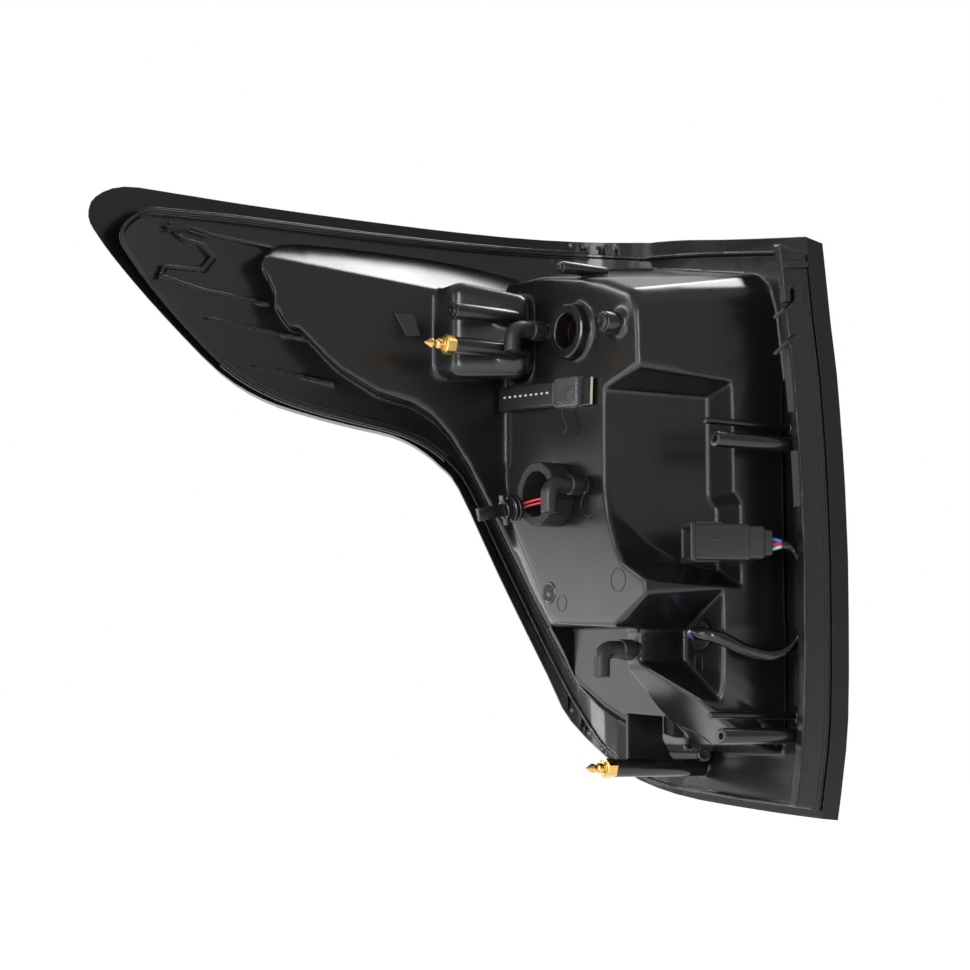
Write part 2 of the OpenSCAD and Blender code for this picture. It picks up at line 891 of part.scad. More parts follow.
module on_module() {
    translate([bulb_face_x, 29, -23])
        rotate([module_tilt, 0, 0])
            children();
}

module module_sleeve() {
    color("#161617")
    placed()
        on_module()
            translate([-sleeve_t, -sleeve_l, -sleeve_w / 2])
                cube([sleeve_t, sleeve_l, sleeve_w]);
}

module module_board() {
    color("#c9bd94")
    placed()
        on_module()
            translate([-sleeve_t / 2, -sleeve_l - 30, -sleeve_w / 2 - 0.5])
                cube([1.6, 30, sleeve_w + 1]);
}

// Clear end of the sleeve, open at the board's end
module module_wrap() {
    color("#9fa6ab")
    placed()
        on_module()
            difference() {
                translate([-sleeve_t, -sleeve_l - 22, -sleeve_w / 2 - 1.5])
                    cube([sleeve_t, 22, sleeve_w + 3]);
                translate([1 - sleeve_t, -sleeve_l - 23, -sleeve_w / 2 - 0.5])
                    cube([sleeve_t - 2, 24, sleeve_w + 1]);
            }
}

module module_capacitor() {
    color("#303033")
    placed()
        on_module()
            translate([1.2 - sleeve_t, -sleeve_l - 15, 0])
                rotate([0, 90, 0])
                    cylinder(h = sleeve_t / 2 - 1.2, r = 4.4);
}

module module_tie() {
    color("#8b8e92")
    placed()
        on_module()
            translate([-sleeve_t / 2, -sleeve_l - 5, -sleeve_w / 2 - 18])
                cube([1.2, 1.6, 16.5]);
}

// Foam on the upstand's front edge, between two heights each
foam_z = [[-42, -8], [-93, -63]];

module foam_strip() {
    color("#8c8c8e")
    placed()
        for (z = foam_z)
            intersection() {
                edge_layer(flange_back + edge_wall_h, flange_back + edge_wall_h + 1.5, 0.8,
                    edge_return_w - 0.4);
                translate([0, -200, z[0]])
                    cube([200, 200, z[1] - z[0]]);
            }
}

module screw(place, r) {
    translate([place[0] - 1.6, place[1], place[2]])
        rotate([0, 90, 0])
            difference() {
                cylinder(h = 1.6, r = r);
                translate([0, 0, -1])
                    cylinder(h = 1.8, r = r * 0.45, $fn = 6);
            }
}

module case_screws() {
    color("#303034")
    placed()
        for (s = screws)
            screw(s, s[3] - 1);
}

rear_housing();
outer_lens();
lens_seal();
inner_bezel();
light_guide();
led_board();
upper_reflector();
lower_reflector();
upper_ball_stud();
lower_ball_stud();
upper_vent_elbow();
middle_vent_elbow();
lower_vent_elbow();
foam_ring();
bulb_holder();
holder_wire_front();
holder_wire_rear();
harness_cable();
harness_grommet();
connector_shell();
connector_cap();
connector_terminals();
connector_wires();
module_sleeve();
module_board();
module_wrap();
module_capacitor();
module_tie();
foam_strip();
case_screws();
socket_bridge();
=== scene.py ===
import math

import bmesh
import bpy
import numpy as np
from bpy.props import FloatProperty, FloatVectorProperty, IntProperty, PointerProperty
from mathutils import Matrix, Vector
from mathutils.bvhtree import BVHTree


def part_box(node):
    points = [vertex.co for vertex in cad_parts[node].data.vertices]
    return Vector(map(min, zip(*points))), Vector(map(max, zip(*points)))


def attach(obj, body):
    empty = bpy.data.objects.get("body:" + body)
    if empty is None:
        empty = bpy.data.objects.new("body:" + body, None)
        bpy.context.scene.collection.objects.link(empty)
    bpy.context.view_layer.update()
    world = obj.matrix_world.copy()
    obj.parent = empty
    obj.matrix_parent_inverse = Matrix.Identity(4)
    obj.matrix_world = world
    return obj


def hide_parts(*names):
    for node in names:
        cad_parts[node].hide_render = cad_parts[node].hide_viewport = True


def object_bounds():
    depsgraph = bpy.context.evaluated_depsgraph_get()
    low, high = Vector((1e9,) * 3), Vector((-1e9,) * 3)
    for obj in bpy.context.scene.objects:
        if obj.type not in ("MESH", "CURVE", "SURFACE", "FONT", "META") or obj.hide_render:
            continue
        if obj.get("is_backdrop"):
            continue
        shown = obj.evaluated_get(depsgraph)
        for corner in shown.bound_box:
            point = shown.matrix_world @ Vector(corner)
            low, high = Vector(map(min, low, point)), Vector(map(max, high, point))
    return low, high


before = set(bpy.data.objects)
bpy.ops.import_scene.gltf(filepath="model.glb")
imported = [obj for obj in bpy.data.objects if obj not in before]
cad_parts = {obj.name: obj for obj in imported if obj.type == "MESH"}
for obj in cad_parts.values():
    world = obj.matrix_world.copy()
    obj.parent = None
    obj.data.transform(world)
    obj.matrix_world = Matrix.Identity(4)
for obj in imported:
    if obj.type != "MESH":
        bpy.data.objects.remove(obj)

bl_info = {
    "name": "Tail light cluster",
    "version": (1, 0, 0),
    "blender": (4, 5, 0),
    "location": "3D View > Sidebar > Tail light",
    "description": "Dresses the moulded tail light cluster and sets its studio",
    "category": "Object",
}

# Places are written in millimetres from the seat of the upper ball stud, as in the part's source.
SEAT_X = 9.0
MM = 0.001


def at(x, y, z):
    """A place in millimetres from the stud's seat, as metres in the row frame."""
    return Vector(((x + SEAT_X) * MM, y * MM, z * MM))


def linear(hex_colour):
    """Turns an sRGB hex colour into linear red, green, blue and alpha."""
    parts = [int(hex_colour[i:i + 2], 16) / 255 for i in (1, 3, 5)]
    return [c / 12.92 if c <= 0.04045 else ((c + 0.055) / 1.055) ** 2.4 for c in parts] + [1.0]


# Materials


def add_node(tree, kind, links=(), values=(), **settings):
    """Adds one node, sets its settings and socket values, and links sockets into it."""
    node = tree.nodes.new(kind)
    for name, value in settings.items():
        setattr(node, name, value)
    for socket, value in dict(values).items():
        node.inputs[socket].default_value = value
    for socket, source in dict(links).items():
        tree.links.new(source, node.inputs[socket])
    return node


def start_material(name):
    """A new material with an empty tree, its output, and its Object coordinates."""
    made = bpy.data.materials.new(name)
    made.use_nodes = True
    tree = made.node_tree
    tree.nodes.clear()
    output = add_node(tree, "ShaderNodeOutputMaterial")
    place = add_node(tree, "ShaderNodeTexCoord").outputs["Object"]
    return made, tree, output, place


def add_noise(tree, place, scale, **values):
    """The strength of a noise in Object coordinates."""
    return add_node(tree, "ShaderNodeTexNoise", {"Vector": place},
                    {"Scale": scale, **values}).outputs["Fac"]


def add_bump(tree, height, strength, depth, **links):
    """The normal of a relief, its depth in metres."""
    return add_node(tree, "ShaderNodeBump", {"Height": height, **links},
                    {"Strength": strength, "Distance": depth}).outputs["Normal"]


def add_blend(tree, share, first, second):
    """A colour between two others."""
    return add_node(tree, "ShaderNodeMix", {0: share}, {6: first, 7: second},
                    data_type="RGBA").outputs[2]


def finish_material(made, tree, output, links, values):
    """Puts the shader of every material on its output."""
    shader = add_node(tree, "ShaderNodeBsdfPrincipled", links, values)
    tree.links.new(shader.outputs["BSDF"], output.inputs["Surface"])
    return made


# The slow changes of gloss and colour: how many to the metre, and how far the colour goes.
DRIFT_SCALE = 28.0
TINT = 0.12
TINT_LIFT = 0.00024


def surface(name, hex_colour, roughness, grain_mm, relief, spread=0.05, edge_mm=0.4, **values):
    """A moulded or drawn surface: a grain in the relief, and slow changes of gloss and colour."""
    made, tree, output, place = start_material(name)
    grain = add_noise(tree, place, 1000 / grain_mm, Detail=3.0, Roughness=0.6)
    drift = add_noise(tree, place, DRIFT_SCALE, Detail=4.0)
    gloss = add_node(tree, "ShaderNodeMapRange", {"Value": drift},
                     {"From Min": 0.3, "From Max": 0.7, "To Min": max(roughness - spread, 0.02),
                      "To Max": roughness + spread}).outputs["Result"]
    base = linear(hex_colour)[:3]
    lighter = [min(c * (1 + TINT) + TINT_LIFT, 1) for c in base] + [1]
    darker = [c * (1 - TINT) for c in base] + [1]
    soft_edge = add_node(tree, "ShaderNodeBevel", values={"Radius": edge_mm * MM}, samples=4)
    bump = add_bump(tree, grain, relief, grain_mm * 0.2 * MM, Normal=soft_edge.outputs["Normal"])
    shade = add_blend(tree, drift, darker, lighter)
    return finish_material(made, tree, output,
                           {"Base Color": shade, "Roughness": gloss, "Normal": bump}, values)


# The plain surfaces: colour, roughness, grain in millimetres, relief, and their other values.
STOCK = {
    # Painted shade: a near-black matt disc at the bottom of the screw recess in the bulb face
    # stands in for the shadow in its depth.
    "recess_painted_shade": ("#050505", 0.7, 0.7, 0.1, {}),
    # Gloss-black ABS of the mask behind the lens: a clear, dark mirror.
    "abs_gloss": ("#0c0c0d", 0.12, 1.5, 0.03, {"IOR": 1.53}),
    # Black second-shot acrylic round the lens: piano gloss.
    "pmma_border": ("#080809", 0.27, 2.0, 0.02, {"spread": 0.02, "IOR": 1.42}),
    # Moulded EPDM hose: satin, a little greyer than the housing, with a fine bloom.
    "epdm_rubber": ("#1b1b1d", 0.42, 0.5, 0.18, {"spread": 0.06, "edge_mm": 0.5, "IOR": 1.5}),
    # Butyl glue bead: black, dull and lumpy.
    "butyl_bead": ("#0f0f10", 0.5, 1.2, 0.4, {}),
    # The moulded skin of the foam ring, nearly black.
    "foam_skin": ("#161617", 0.6, 0.6, 0.4, {"spread": 0.08}),
    # Foam pads: charcoal and quite matt.
    "foam_pad": ("#343436", 0.8, 0.6, 0.4, {}),
    # Black nylon of the holder and clips: semi-gloss, a trace of flow marks.
    "nylon_black": ("#121214", 0.24, 0.5, 0.12, {"spread": 0.06, "edge_mm": 0.35, "IOR": 1.53}),
    # Glass-filled PBT of the plug: matt charcoal with a fine spark texture.
    "pbt_black": ("#1d1d1f", 0.42, 0.35, 0.35, {"edge_mm": 0.35, "IOR": 1.57}),
    # Black PVC sleeve on the harness: wet gloss, with soft creases.
    "pvc_sleeve": ("#0d0d0f", 0.16, 6.0, 0.55, {"spread": 0.04, "IOR": 1.54}),
    # Black heat-shrink tube: semi-matt, drawn tight over the board.
    "shrink_sleeve": ("#17171a", 0.42, 1.6, 0.12, {"spread": 0.06, "edge_mm": 0.8}),
    # Printed ink: flat off-white.
    "white_ink": ("#c9c9c9", 0.5, 0.3, 0.1, {}),
    # Glass-epoxy board under dark solder mask.
    "board_laminate": ("#101a14", 0.3, 0.8, 0.1, {}),
    # Sawn edge of the board: cream glass-epoxy.
    "board_edge": ("#d8cfa8", 0.6, 0.3, 0.3, {}),
    # Tin plate on copper terminals: pale, bright metal.
    "tinned_copper": ("#c9cacc", 0.28, 0.3, 0.08, {"Metallic": 1.0}),
    # Dark zinc-plated steel screws: a dull metal gleam.
    "zinc_screw": ("#3b3c40", 0.36, 0.4, 0.2, {"Metallic": 1.0}),
    # Vacuum-metallised reflector: a bright mirror with a faint orange peel.
    "aluminised": ("#d9dbde", 0.08, 6.0, 0.03, {"spread": 0.02, "Metallic": 1.0}),
}


def stock(name):
    """A new material from the list above."""
    *recipe, more = STOCK[name]
    return surface(name, *recipe, **more)


def abs_black(settings):
    """Black ABS from a polished tool: deep, even black, and broad soft reflections."""
    return surface("abs_black", "#131314", settings.roughness, 0.9, 0.10, spread=0.03,
                   edge_mm=0.9, IOR=1.53)


def abs_fittings(settings):
    """The same ABS on tubes, rods and collars, which keep a crisper edge."""
    return surface("abs_fittings", "#131315", settings.roughness - 0.02, 0.7, 0.08, spread=0.03,
                   edge_mm=0.5, IOR=1.53)


def pvc(name, hex_colour):
    """Wire insulation of PVC: bright, smooth and a little shiny."""
    return surface(name, hex_colour, 0.3, 0.4, 0.05, spread=0.04, IOR=1.54)


def pmma_red(settings):
    """Red acrylic, 3 mm thick: deep red, see-through, polished."""
    made, tree, output, place = start_material("pmma_red")
    bump = add_bump(tree, add_noise(tree, place, 60.0), 0.02, 0.001)
    return finish_material(made, tree, output, {"Normal": bump}, {
        "Base Color": (*settings.red, 1), "Roughness": 0.04, "IOR": 1.49,
        "Transmission Weight": 0.72})


def clear_plastic():
    """Clear polyolefin and acrylic: faint grey, crinkled where it is shrunk on."""
    made, tree, output, place = start_material("clear_plastic")
    bump = add_bump(tree, add_noise(tree, place, 320.0, Detail=4.0), 0.7, 0.0008)
    return finish_material(made, tree, output, {"Normal": bump}, {
        "Base Color": linear("#b9bcc0"), "Roughness": 0.12, "IOR": 1.48,
        "Transmission Weight": 0.9})


def turned_brass():
    """Free-cutting brass off a lathe: warm yellow, with fine rings from the tool."""
    made, tree, output, place = start_material("turned_brass")
    apart = add_node(tree, "ShaderNodeSeparateXYZ", {"Vector": place})
    rings = add_node(tree, "ShaderNodeMath", {0: apart.outputs["X"]},
                     {1: 2 * math.pi / (0.25 * MM)}, operation="MULTIPLY")
    wave = add_node(tree, "ShaderNodeMath", {0: rings.outputs[0]}, operation="SINE")
    bump = add_bump(tree, wave.outputs[0], 0.12, 0.00004)
    drift = add_noise(tree, place, 300.0, Detail=3.0)
    gloss = add_node(tree, "ShaderNodeMapRange", {"Value": drift},
                     {"To Min": 0.16, "To Max": 0.32})
    return finish_material(made, tree, output,
                           {"Normal": bump, "Roughness": gloss.outputs["Result"]},
                           {"Base Color": linear("#d6ae66"), "Metallic": 1.0})


def foam_cut():
    """Closed-cell foam, cut face: dark grey, matt, with pores of about half a millimetre."""
    made, tree, output, place = start_material("foam_cut")
    cells = add_node(tree, "ShaderNodeTexVoronoi", {"Vector": place}, {"Scale": 1500.0})
    depth = cells.outputs["Distance"]
    shade = add_blend(tree, depth, linear("#303032"), linear("#232325"))
    return finish_material(made, tree, output, {
        "Normal": add_bump(tree, depth, 0.6, 0.0003), "Base Color": shade}, {"Roughness": 0.85})


# Mesh helpers


def add_object(name, data):
    """A new object in the scene."""
    made = bpy.data.objects.new(name, data)
    bpy.context.scene.collection.objects.link(made)
    return made


def new_piece(name, shape, materials, node, smooth=35):
    """Links a mesh or bmesh as one piece that stands for a node, smooth but for its sharp edges."""
    mesh = finish_mesh(name, shape) if isinstance(shape, bmesh.types.BMesh) else shape
    for material in materials:
        mesh.materials.append(stock(material) if isinstance(material, str) else material)
    piece = add_object(name, mesh)
    if smooth:
        mesh.shade_smooth()
        mesh.set_sharp_from_angle(angle=math.radians(smooth))
    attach(piece, "root")
    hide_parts(node)
    return piece


def finish_mesh(name, bm):
    """Merges doubles, points the faces outwards and turns a bmesh into a mesh."""
    bmesh.ops.remove_doubles(bm, verts=bm.verts, dist=1e-6)
    bmesh.ops.recalc_face_normals(bm, faces=bm.faces)
    mesh = bpy.data.meshes.new(name)
    bm.to_mesh(mesh)
    bm.free()
    return mesh


def dress(materials):
    """Gives CAD nodes that stay in view their better materials."""
    for node, material in materials.items():
        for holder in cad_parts[node].material_slots:
            holder.material = material


def result_of(carrier):
    """The mesh that an object's modifiers make."""
    bpy.context.view_layer.update()
    return bpy.data.meshes.new_from_object(
        carrier.evaluated_get(bpy.context.evaluated_depsgraph_get()))


def across(axis):
    """Two directions across an axis."""
    side = axis.orthogonal().normalized()
    return side, axis.cross(side)


def add_circle(bm, middle, side, other, radius, sides, swell=None):
    """A ring of points, its radius in millimetres."""
    turns = [2 * math.pi * k / sides for k in range(sides)]
    return [bm.verts.new(middle + (side * math.cos(a) + other * math.sin(a)) * radius
                         * (swell(a) if swell else 1) * MM) for a in turns]


def skin(bm, rings, material=0, ends=True):
    """Joins rings of equal counts with faces, and closes the two ends."""
    for near, far in zip(rings, rings[1:]):
        for k in range(len(near)):
            m = (k + 1) % len(near)
            bm.faces.new([near[k], near[m], far[m], far[k]]).material_index = material
    if ends:
        bm.faces.new(rings[0]).material_index = material
        bm.faces.new(rings[-1]).material_index = material


def matched(ring, other):
    """The same ring, started and turned so that it lies along another."""
    count = len(ring)
    first = min(range(count), key=lambda k: (ring[k].co - other[0].co).length)
    ahead, behind = [(ring[(first + step) % count].co - other[1].co).length for step in (1, -1)]
    turn = 1 if ahead < behind else -1
    return [ring[(first + turn * k) % count] for k in range(count)]


def add_lathe(bm, tip, direction, profile, sides=48, material=0):
    """Turns a profile of (distance, radius) pairs in millimetres about an axis from tip."""
    axis = Vector(direction).normalized()
    side, other = across(axis)
    rings = [add_circle(bm, tip + axis * distance * MM, side, other, radius, sides if radius else 1)
             for distance, radius in profile]
    for near, far in zip(rings, rings[1:]):
        for k in range(sides):
            m = (k + 1) % sides
            pairs = (near, k), (far, k), (far, m), (near, m)
            corners = list(dict.fromkeys(ring[j % len(ring)] for ring, j in pairs))
            if len(corners) > 2:
                bm.faces.new(corners).material_index = material


def add_block(bm, low, high, radius, turn=None, segments=3):
    """A box between two corners in millimetres from the seat, with rounded edges."""
    a, b = at(*low), at(*high)
    size = [abs(v) for v in b - a]
    made = bmesh.ops.create_cube(
        bm, size=1.0, matrix=Matrix.Translation((a + b) / 2) @ Matrix.Diagonal((*size, 1)))
    faces = {f for v in made["verts"] for f in v.link_faces}
    if radius:
        edges = list({e for v in made["verts"] for e in v.link_edges})
        faces |= set(bmesh.ops.bevel(bm, geom=edges, offset=radius * MM, segments=segments,
                                     affect="EDGES", profile=0.5)["faces"])
    if turn:
        verts = list({v for f in faces if f.is_valid for v in f.verts})
        bmesh.ops.transform(bm, matrix=turn, verts=verts)


def rounded_square(bm, x, half, radius):
    """A ring of points round a square across the X axis, with rounded corners."""
    ring = []
    for corner, (y, z) in enumerate(((1, 1), (-1, 1), (-1, -1), (1, -1))):
        for k in range(5):
            a = math.radians(90 * corner + 22.5 * k)
            ring.append(bm.verts.new(at(x, y * (half - radius) + radius * math.cos(a),
                                        z * (half - radius) + radius * math.sin(a))))
    return ring


def turned(angle, axis, centre):
    """A turn in degrees about an axis through a place."""
    return Matrix.Translation(centre) @ Matrix.Rotation(math.radians(angle), 4, axis) \
        @ Matrix.Translation(-centre)


def curve_through(points, steps):
    """The smooth line that the part's source draws through chosen points."""
    p = [np.array(q, float) for q in points]
    out = []
    for i in range(len(p) - 1):
        a = p[i - 1] if i else 2 * p[0] - p[1]
        b, c = p[i], p[i + 1]
        d = p[i + 2] if i < len(p) - 2 else 2 * p[-1] - p[-2]
        for k in range(steps):
            t = k / steps
            out.append(0.5 * (2 * b + (c - a) * t + (2 * a - 5 * b + 4 * c - d) * t * t
                              + (3 * b - a - 3 * c + d) * t ** 3))
    out.append(p[-1])
    return out


def add_tube(bm, path, radius, sides=16, material=0, wobble=None, closed=False):
    """Sweeps a round section along a path in millimetres, with closed ends or round a loop."""
    points = [at(*q) for q in path]
    last = len(points) - 1
    side = (points[1] - points[0]).normalized().orthogonal()
    rings = []
    for i, point in enumerate(points):
        ahead = (points[min(i + 1, last)] - points[max(i - 1, 0)]).normalized()
        side = (side - ahead * side.dot(ahead)).normalized()
        swell = (lambda a: wobble(i / last, a)) if wobble else None
        rings.append(add_circle(bm, point, side, ahead.cross(side), radius, sides, swell))
    skin(bm, rings, material, ends=not closed)
    if closed:
        skin(bm, [rings[-1], matched(rings[0], rings[-1])], material, ends=False)
    return points


def add_rod(bm, a, b, radius, sides=6):
    """A short closed rod between two places in metres."""
    if (b - a).length > 1e-5:
        side, other = across((b - a).normalized())
        skin(bm, [add_circle(bm, end, side, other, radius, sides) for end in (a, b)])


def repeated(name, size, count, start, step, material):
    """Geometry Nodes: equal blocks in a row, made real and given their material."""
    tree = bpy.data.node_groups.new(name, "GeometryNodeTree")
    given = {"Count": count, "Start": start, "Step": step, "Size": size}
    for label in given:
        kind = "NodeSocketInt" if label == "Count" else "NodeSocketVector"
        tree.interface.new_socket(label, in_out="INPUT", socket_type=kind)
    tree.interface.new_socket("Geometry", in_out="OUTPUT", socket_type="NodeSocketGeometry")
    asked = add_node(tree, "NodeGroupInput").outputs
    line = add_node(tree, "GeometryNodeMeshLine", {
        "Count": asked["Count"], "Start Location": asked["Start"], "Offset": asked["Step"]})
    block = add_node(tree, "GeometryNodeMeshCube", {"Size": asked["Size"]})
    spread = add_node(tree, "GeometryNodeInstanceOnPoints",
                      {"Points": line.outputs["Mesh"], "Instance": block.outputs["Mesh"]})
    real = add_node(tree, "GeometryNodeRealizeInstances", {"Geometry": spread.outputs["Instances"]})
    painted = add_node(tree, "GeometryNodeSetMaterial", {"Geometry": real.outputs["Geometry"]},
                       {"Material": material})
    outputs = add_node(tree, "NodeGroupOutput")
    tree.links.new(painted.outputs["Geometry"], outputs.inputs["Geometry"])
    carrier = add_object(name, bpy.data.meshes.new(name))
    modifier = carrier.modifiers.new(name, "NODES")
    modifier.node_group = tree
    for item in tree.interface.items_tree:
        if item.in_out == "INPUT":
            modifier[item.identifier] = given[item.name]
    carrier.update_tag()
    row = result_of(carrier)
    bpy.data.objects.remove(carrier)
    return row


def cad_copy(node):
    """A merged copy of a CAD node's mesh."""
    bm = bmesh.new()
    bm.from_mesh(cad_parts[node].data)
    bmesh.ops.remove_doubles(bm, verts=bm.verts, dist=2e-6)
    return bm


def seal_search():
    """A search tree of the seal, from which distances to the lamp's rim are measured."""
    seal = cad_copy("lens_seal")
    tree = BVHTree.FromBMesh(seal)
    seal.free()
    return tree


def remeshed(node, depth):
    """An object with an even mesh of small quads on a CAD node's surface, its creases kept."""
    bm = cad_copy(node)
    mesh = bpy.data.meshes.new(node)
    bm.to_mesh(mesh)
    bm.free()
    work = add_object(node + "_work", mesh)
    remesh = work.modifiers.new("Remesh", "REMESH")
    remesh.mode = "SHARP"
    remesh.octree_depth = depth - 0
    remesh.scale = 0.9
    remesh.use_remove_disconnected = False
    work.data = result_of(work)
    work.modifiers.clear()
    return work


def thinned(work, triangles):
    """The work object's mesh with no more triangles than asked for; the object goes."""
    faces = sum(len(p.vertices) - 2 for p in work.data.polygons)
    thin = work.modifiers.new("Decimate", "DECIMATE")
    thin.ratio = min(1.0, triangles / faces)
    final = result_of(work)
    bpy.data.objects.remove(work)
    final.materials.clear()
    return final


# The housing


class HousingSettings(bpy.types.PropertyGroup):
    depth: IntProperty(name="Depth", default=9, min=7, max=10,
                       description="Octree depth of the even mesh that the moulding is rounded on")
    rounding: FloatProperty(name="Rounding", description="How far the softest corners are rounded",
                            default=0.0032, min=0, max=0.006, unit="LENGTH")
    triangles: IntProperty(name="Triangles", description="Most triangles in the moulding",
                           default=196000, min=20000, max=199000)
    roughness: FloatProperty(name="Roughness", description="Roughness of the black plastic",
                             default=0.24, min=0.05, max=0.9)


# Where the mould's corners are soft, from 0 to 1: two corners of a zone, its softness, and the
# width in millimetres over which that fades. A later zone covers an earlier one.
EVERYWHERE_SOFT = 0.2
LEAST_SOFT = 0.02
SOFT_ZONES = [((-14, -70, -30), (54, 36, 34), 0.45, 6), ((50, -96, -18), (78, -56, 50), 1.0, 10),
              ((40, -40, -140), (62, 36, 20), 0.5, 6),
              ((60, -110, -215), (112, -50, -150), 0.45, 8),
              ((-170, 0, 21), (-94, 60, 62), 0.02, 2), ((-138, 0, 2), (-77, 60, 14), 0.02, 2),
              ((-112, -20, -21), (-63, 60, -10), 0.02, 2),
              ((84, -44, -236), (132, -36, -198), 0.03, 3),
              ((-300, -300, -300), (300, -127, 300), 0.03, 3),
              ((70, -128, -126), (100, -104, -100), 0.05, 3)]
# Millimetres from the seal within which the rim stays crisp, and over which that fades.
RIM_CRISP = 9.0
RIM_FADE = 6.0
# The share of the way to its neighbours that a point moves in one round, and the spread of that.
MOVE = 0.8
SPREAD_PER_ROUND = 0.4


def softness(co, gap):
    """How much each point of the moulding is rounded, from its zone and its gap to the rim."""
    soft = np.full(len(co), EVERYWHERE_SOFT)
    for low, high, amount, fade in SOFT_ZONES:
        a, b = np.array(at(*low)), np.array(at(*high))
        out = np.maximum(np.maximum(a - co, co - b), 0)
        share = np.clip(1 - np.sqrt((out ** 2).sum(axis=1)) / (fade * MM), 0, 1)
        soft += (amount - soft) * share
    rim = np.clip((gap / MM - RIM_CRISP) / RIM_FADE, 0, 1)
    return LEAST_SOFT + (soft - LEAST_SOFT) * rim


def relaxed(co, edges, weight, rounds):
    """Moves each point towards the middle of its neighbours, by its weight."""
    count = len(co)
    a, b = edges[:, 0], edges[:, 1]
    degree = np.maximum(np.bincount(np.concatenate([a, b]), minlength=count), 1).astype(float)
    for _ in range(rounds):
        for axis in range(3):
            line = co[:, axis]
            total = (np.bincount(a, line[b], minlength=count)
                     + np.bincount(b, line[a], minlength=count))
            co[:, axis] += (total / degree - line) * weight
    return co


class TAILLIGHT_OT_housing(bpy.types.Operator):
    """Makes the moulded housing with the soft edges that a mould gives it"""
    bl_idname = "taillight.housing"
    bl_label = "Moulded housing"

    def execute(self, context):
        s = context.scene.taillight_housing
        work = remeshed("rear_housing", s.depth)
        dense = work.data
        co = np.empty(len(dense.vertices) * 3)
        dense.vertices.foreach_get("co", co)
        co = co.reshape(-1, 3)
        edges = np.empty(len(dense.edges) * 2, int)
        dense.edges.foreach_get("vertices", edges)
        edges = edges.reshape(-1, 2)
        near = seal_search()
        reach = (RIM_CRISP + RIM_FADE) * MM
        hits = (near.find_nearest(Vector(p), reach)[3] for p in co)
        gap = np.array([reach if hit is None else hit for hit in hits])
        step = np.median(np.linalg.norm(co[edges[::97, 0]] - co[edges[::97, 1]], axis=1))
        rounds = round((s.rounding / step) ** 2 / SPREAD_PER_ROUND)
        co = relaxed(co, edges, softness(co, gap) * MOVE, rounds)
        dense.vertices.foreach_set("co", co.ravel())
        dense.update()
        new_piece("housing_shell", thinned(work, s.triangles), [abs_black(s)],
                  "rear_housing", smooth=50)
        return {"FINISHED"}


# Crisp features of the same moulding. Each screw has a tip, a radius and the run of its boss.

SCREWS = [(47, -36.5, 43, 3.4, 30), (1, 1.6, 19.5, 4.6, 45), (45.5, -76.5, 6.5, 5.9, 13)]
TUBES = [(84, -122.8, -58.8), (84, -125.7, -214.6)]
RODS = [(84, -114.6, -48.1), (84, -116.7, -203.9)]
UPPER_HOLE = (57, -37, 7.5)
LOWER_HOLE = (57, -17.5, -81.5)
UPPER_STUD = (0, 0, 0)
LOWER_STUD = (79, -39.7, -232)
ROOT_X = 147
BACK = (1, 0, 0)
BULB_FACE_X = 57
STUD_BOSS_R = 4.83
# Two screw bosses under the lower edge: tip, direction, radius and run.
BOTTOM_SCREWS = [((126.1, -48, -219.5), (0.55, 0.83, -0.1), 3.6, 9),
                 ((136.5, -48, -224.8), (0.55, 0.83, -0.1), 3.9, 9)]
# Ejector marks on the flat face round the holes: Y, Z and radius.
FACE_CIRCLES = [(-47.6, -88.8, 6.6), (-74.2, -131.7, 6.2), (-22.9, -141.7, 4.2)]
# Clips, ribs and the fin: two outlines of four corners each, joined by flat sides.
WEDGES = [
    ([(-16.4, 37.9, 22.6), (-4.2, 36.9, 22), (-0.2, 36.5, 8.4), (-8.6, 37.2, 8)],
     [(-15.6, 36.6, 22), (-6, 31.4, 21.4), (-3, 29, 9.4), (-8.8, 33.4, 8.8)]),
    ([(124.8, -132.4, 39.4), (141.8, -132.4, 41.2), (141.8, -132.4, 36.6), (124.7, -132.4, 34.8)],
     [(126, -134.9, 38.6), (140.6, -134.9, 40), (140.6, -134.9, 37.4), (126, -134.9, 35.6)]),
    ([(122.5, -132.5, 24.6), (127.2, -132.5, 25.2), (127.2, -132.5, 16.2), (122.5, -132.5, 15.6)],
     [(123, -136, 23.8), (126.7, -136, 24.4), (126.7, -136, 17), (123, -136, 16.4)]),
    ([(129.6, -132.5, 25.6), (134.2, -132.5, 26.2), (134.2, -132.5, 17.2), (129.6, -132.5, 16.6)],
     [(130, -136, 24.8), (133.7, -136, 25.4), (133.7, -136, 18), (130, -136, 17.4)]),
    ([(117.3, -132.4, 8.2), (128.7, -132.4, 16.8), (129.6, -132.4, 15.4), (118.2, -132.4, 6.8)],
     [(118, -134.8, 7.8), (128.6, -134.8, 15.9), (128.9, -134.8, 15.4), (118.3, -134.8, 7.2)]),
    ([(117, -132.5, -11.4), (131.5, -132.5, 0.4), (132.4, -132.5, -1), (117.9, -132.5, -12.8)],
     [(117.8, -134.9, -11.8), (131.2, -134.9, -0.6), (131.6, -134.9, -1.1),
      (118.2, -134.9, -12.4)]),
]
# The sheet beside the lower face: its left and right lines, as X and Z at a height of 15 mm in Y.
SHEET_LEFT = [(76.6, -153.0), (85.0, -165.8), (92.7, -179.9), (99.7, -188.4), (111.0, -196.8),
              (124.7, -205.3)]
SHEET_RIGHT = [(92.8, -152.5), (93.1, -162.8), (94.8, -171.9), (99.7, -181.0), (108.2, -189.4),
               (124.0, -200.7)]
SHEET_Y = 15
# The line of the scoop beside the lower tube.
SCOOP = [(109.4, -61.9, -209.3), (113.3, -67.7, -212.2), (120.2, -71.1, -217.1), (127, -69, -220.6),
         (134.3, -65.8, -222), (140, -58, -224.4), (143.4, -46, -224.4)]
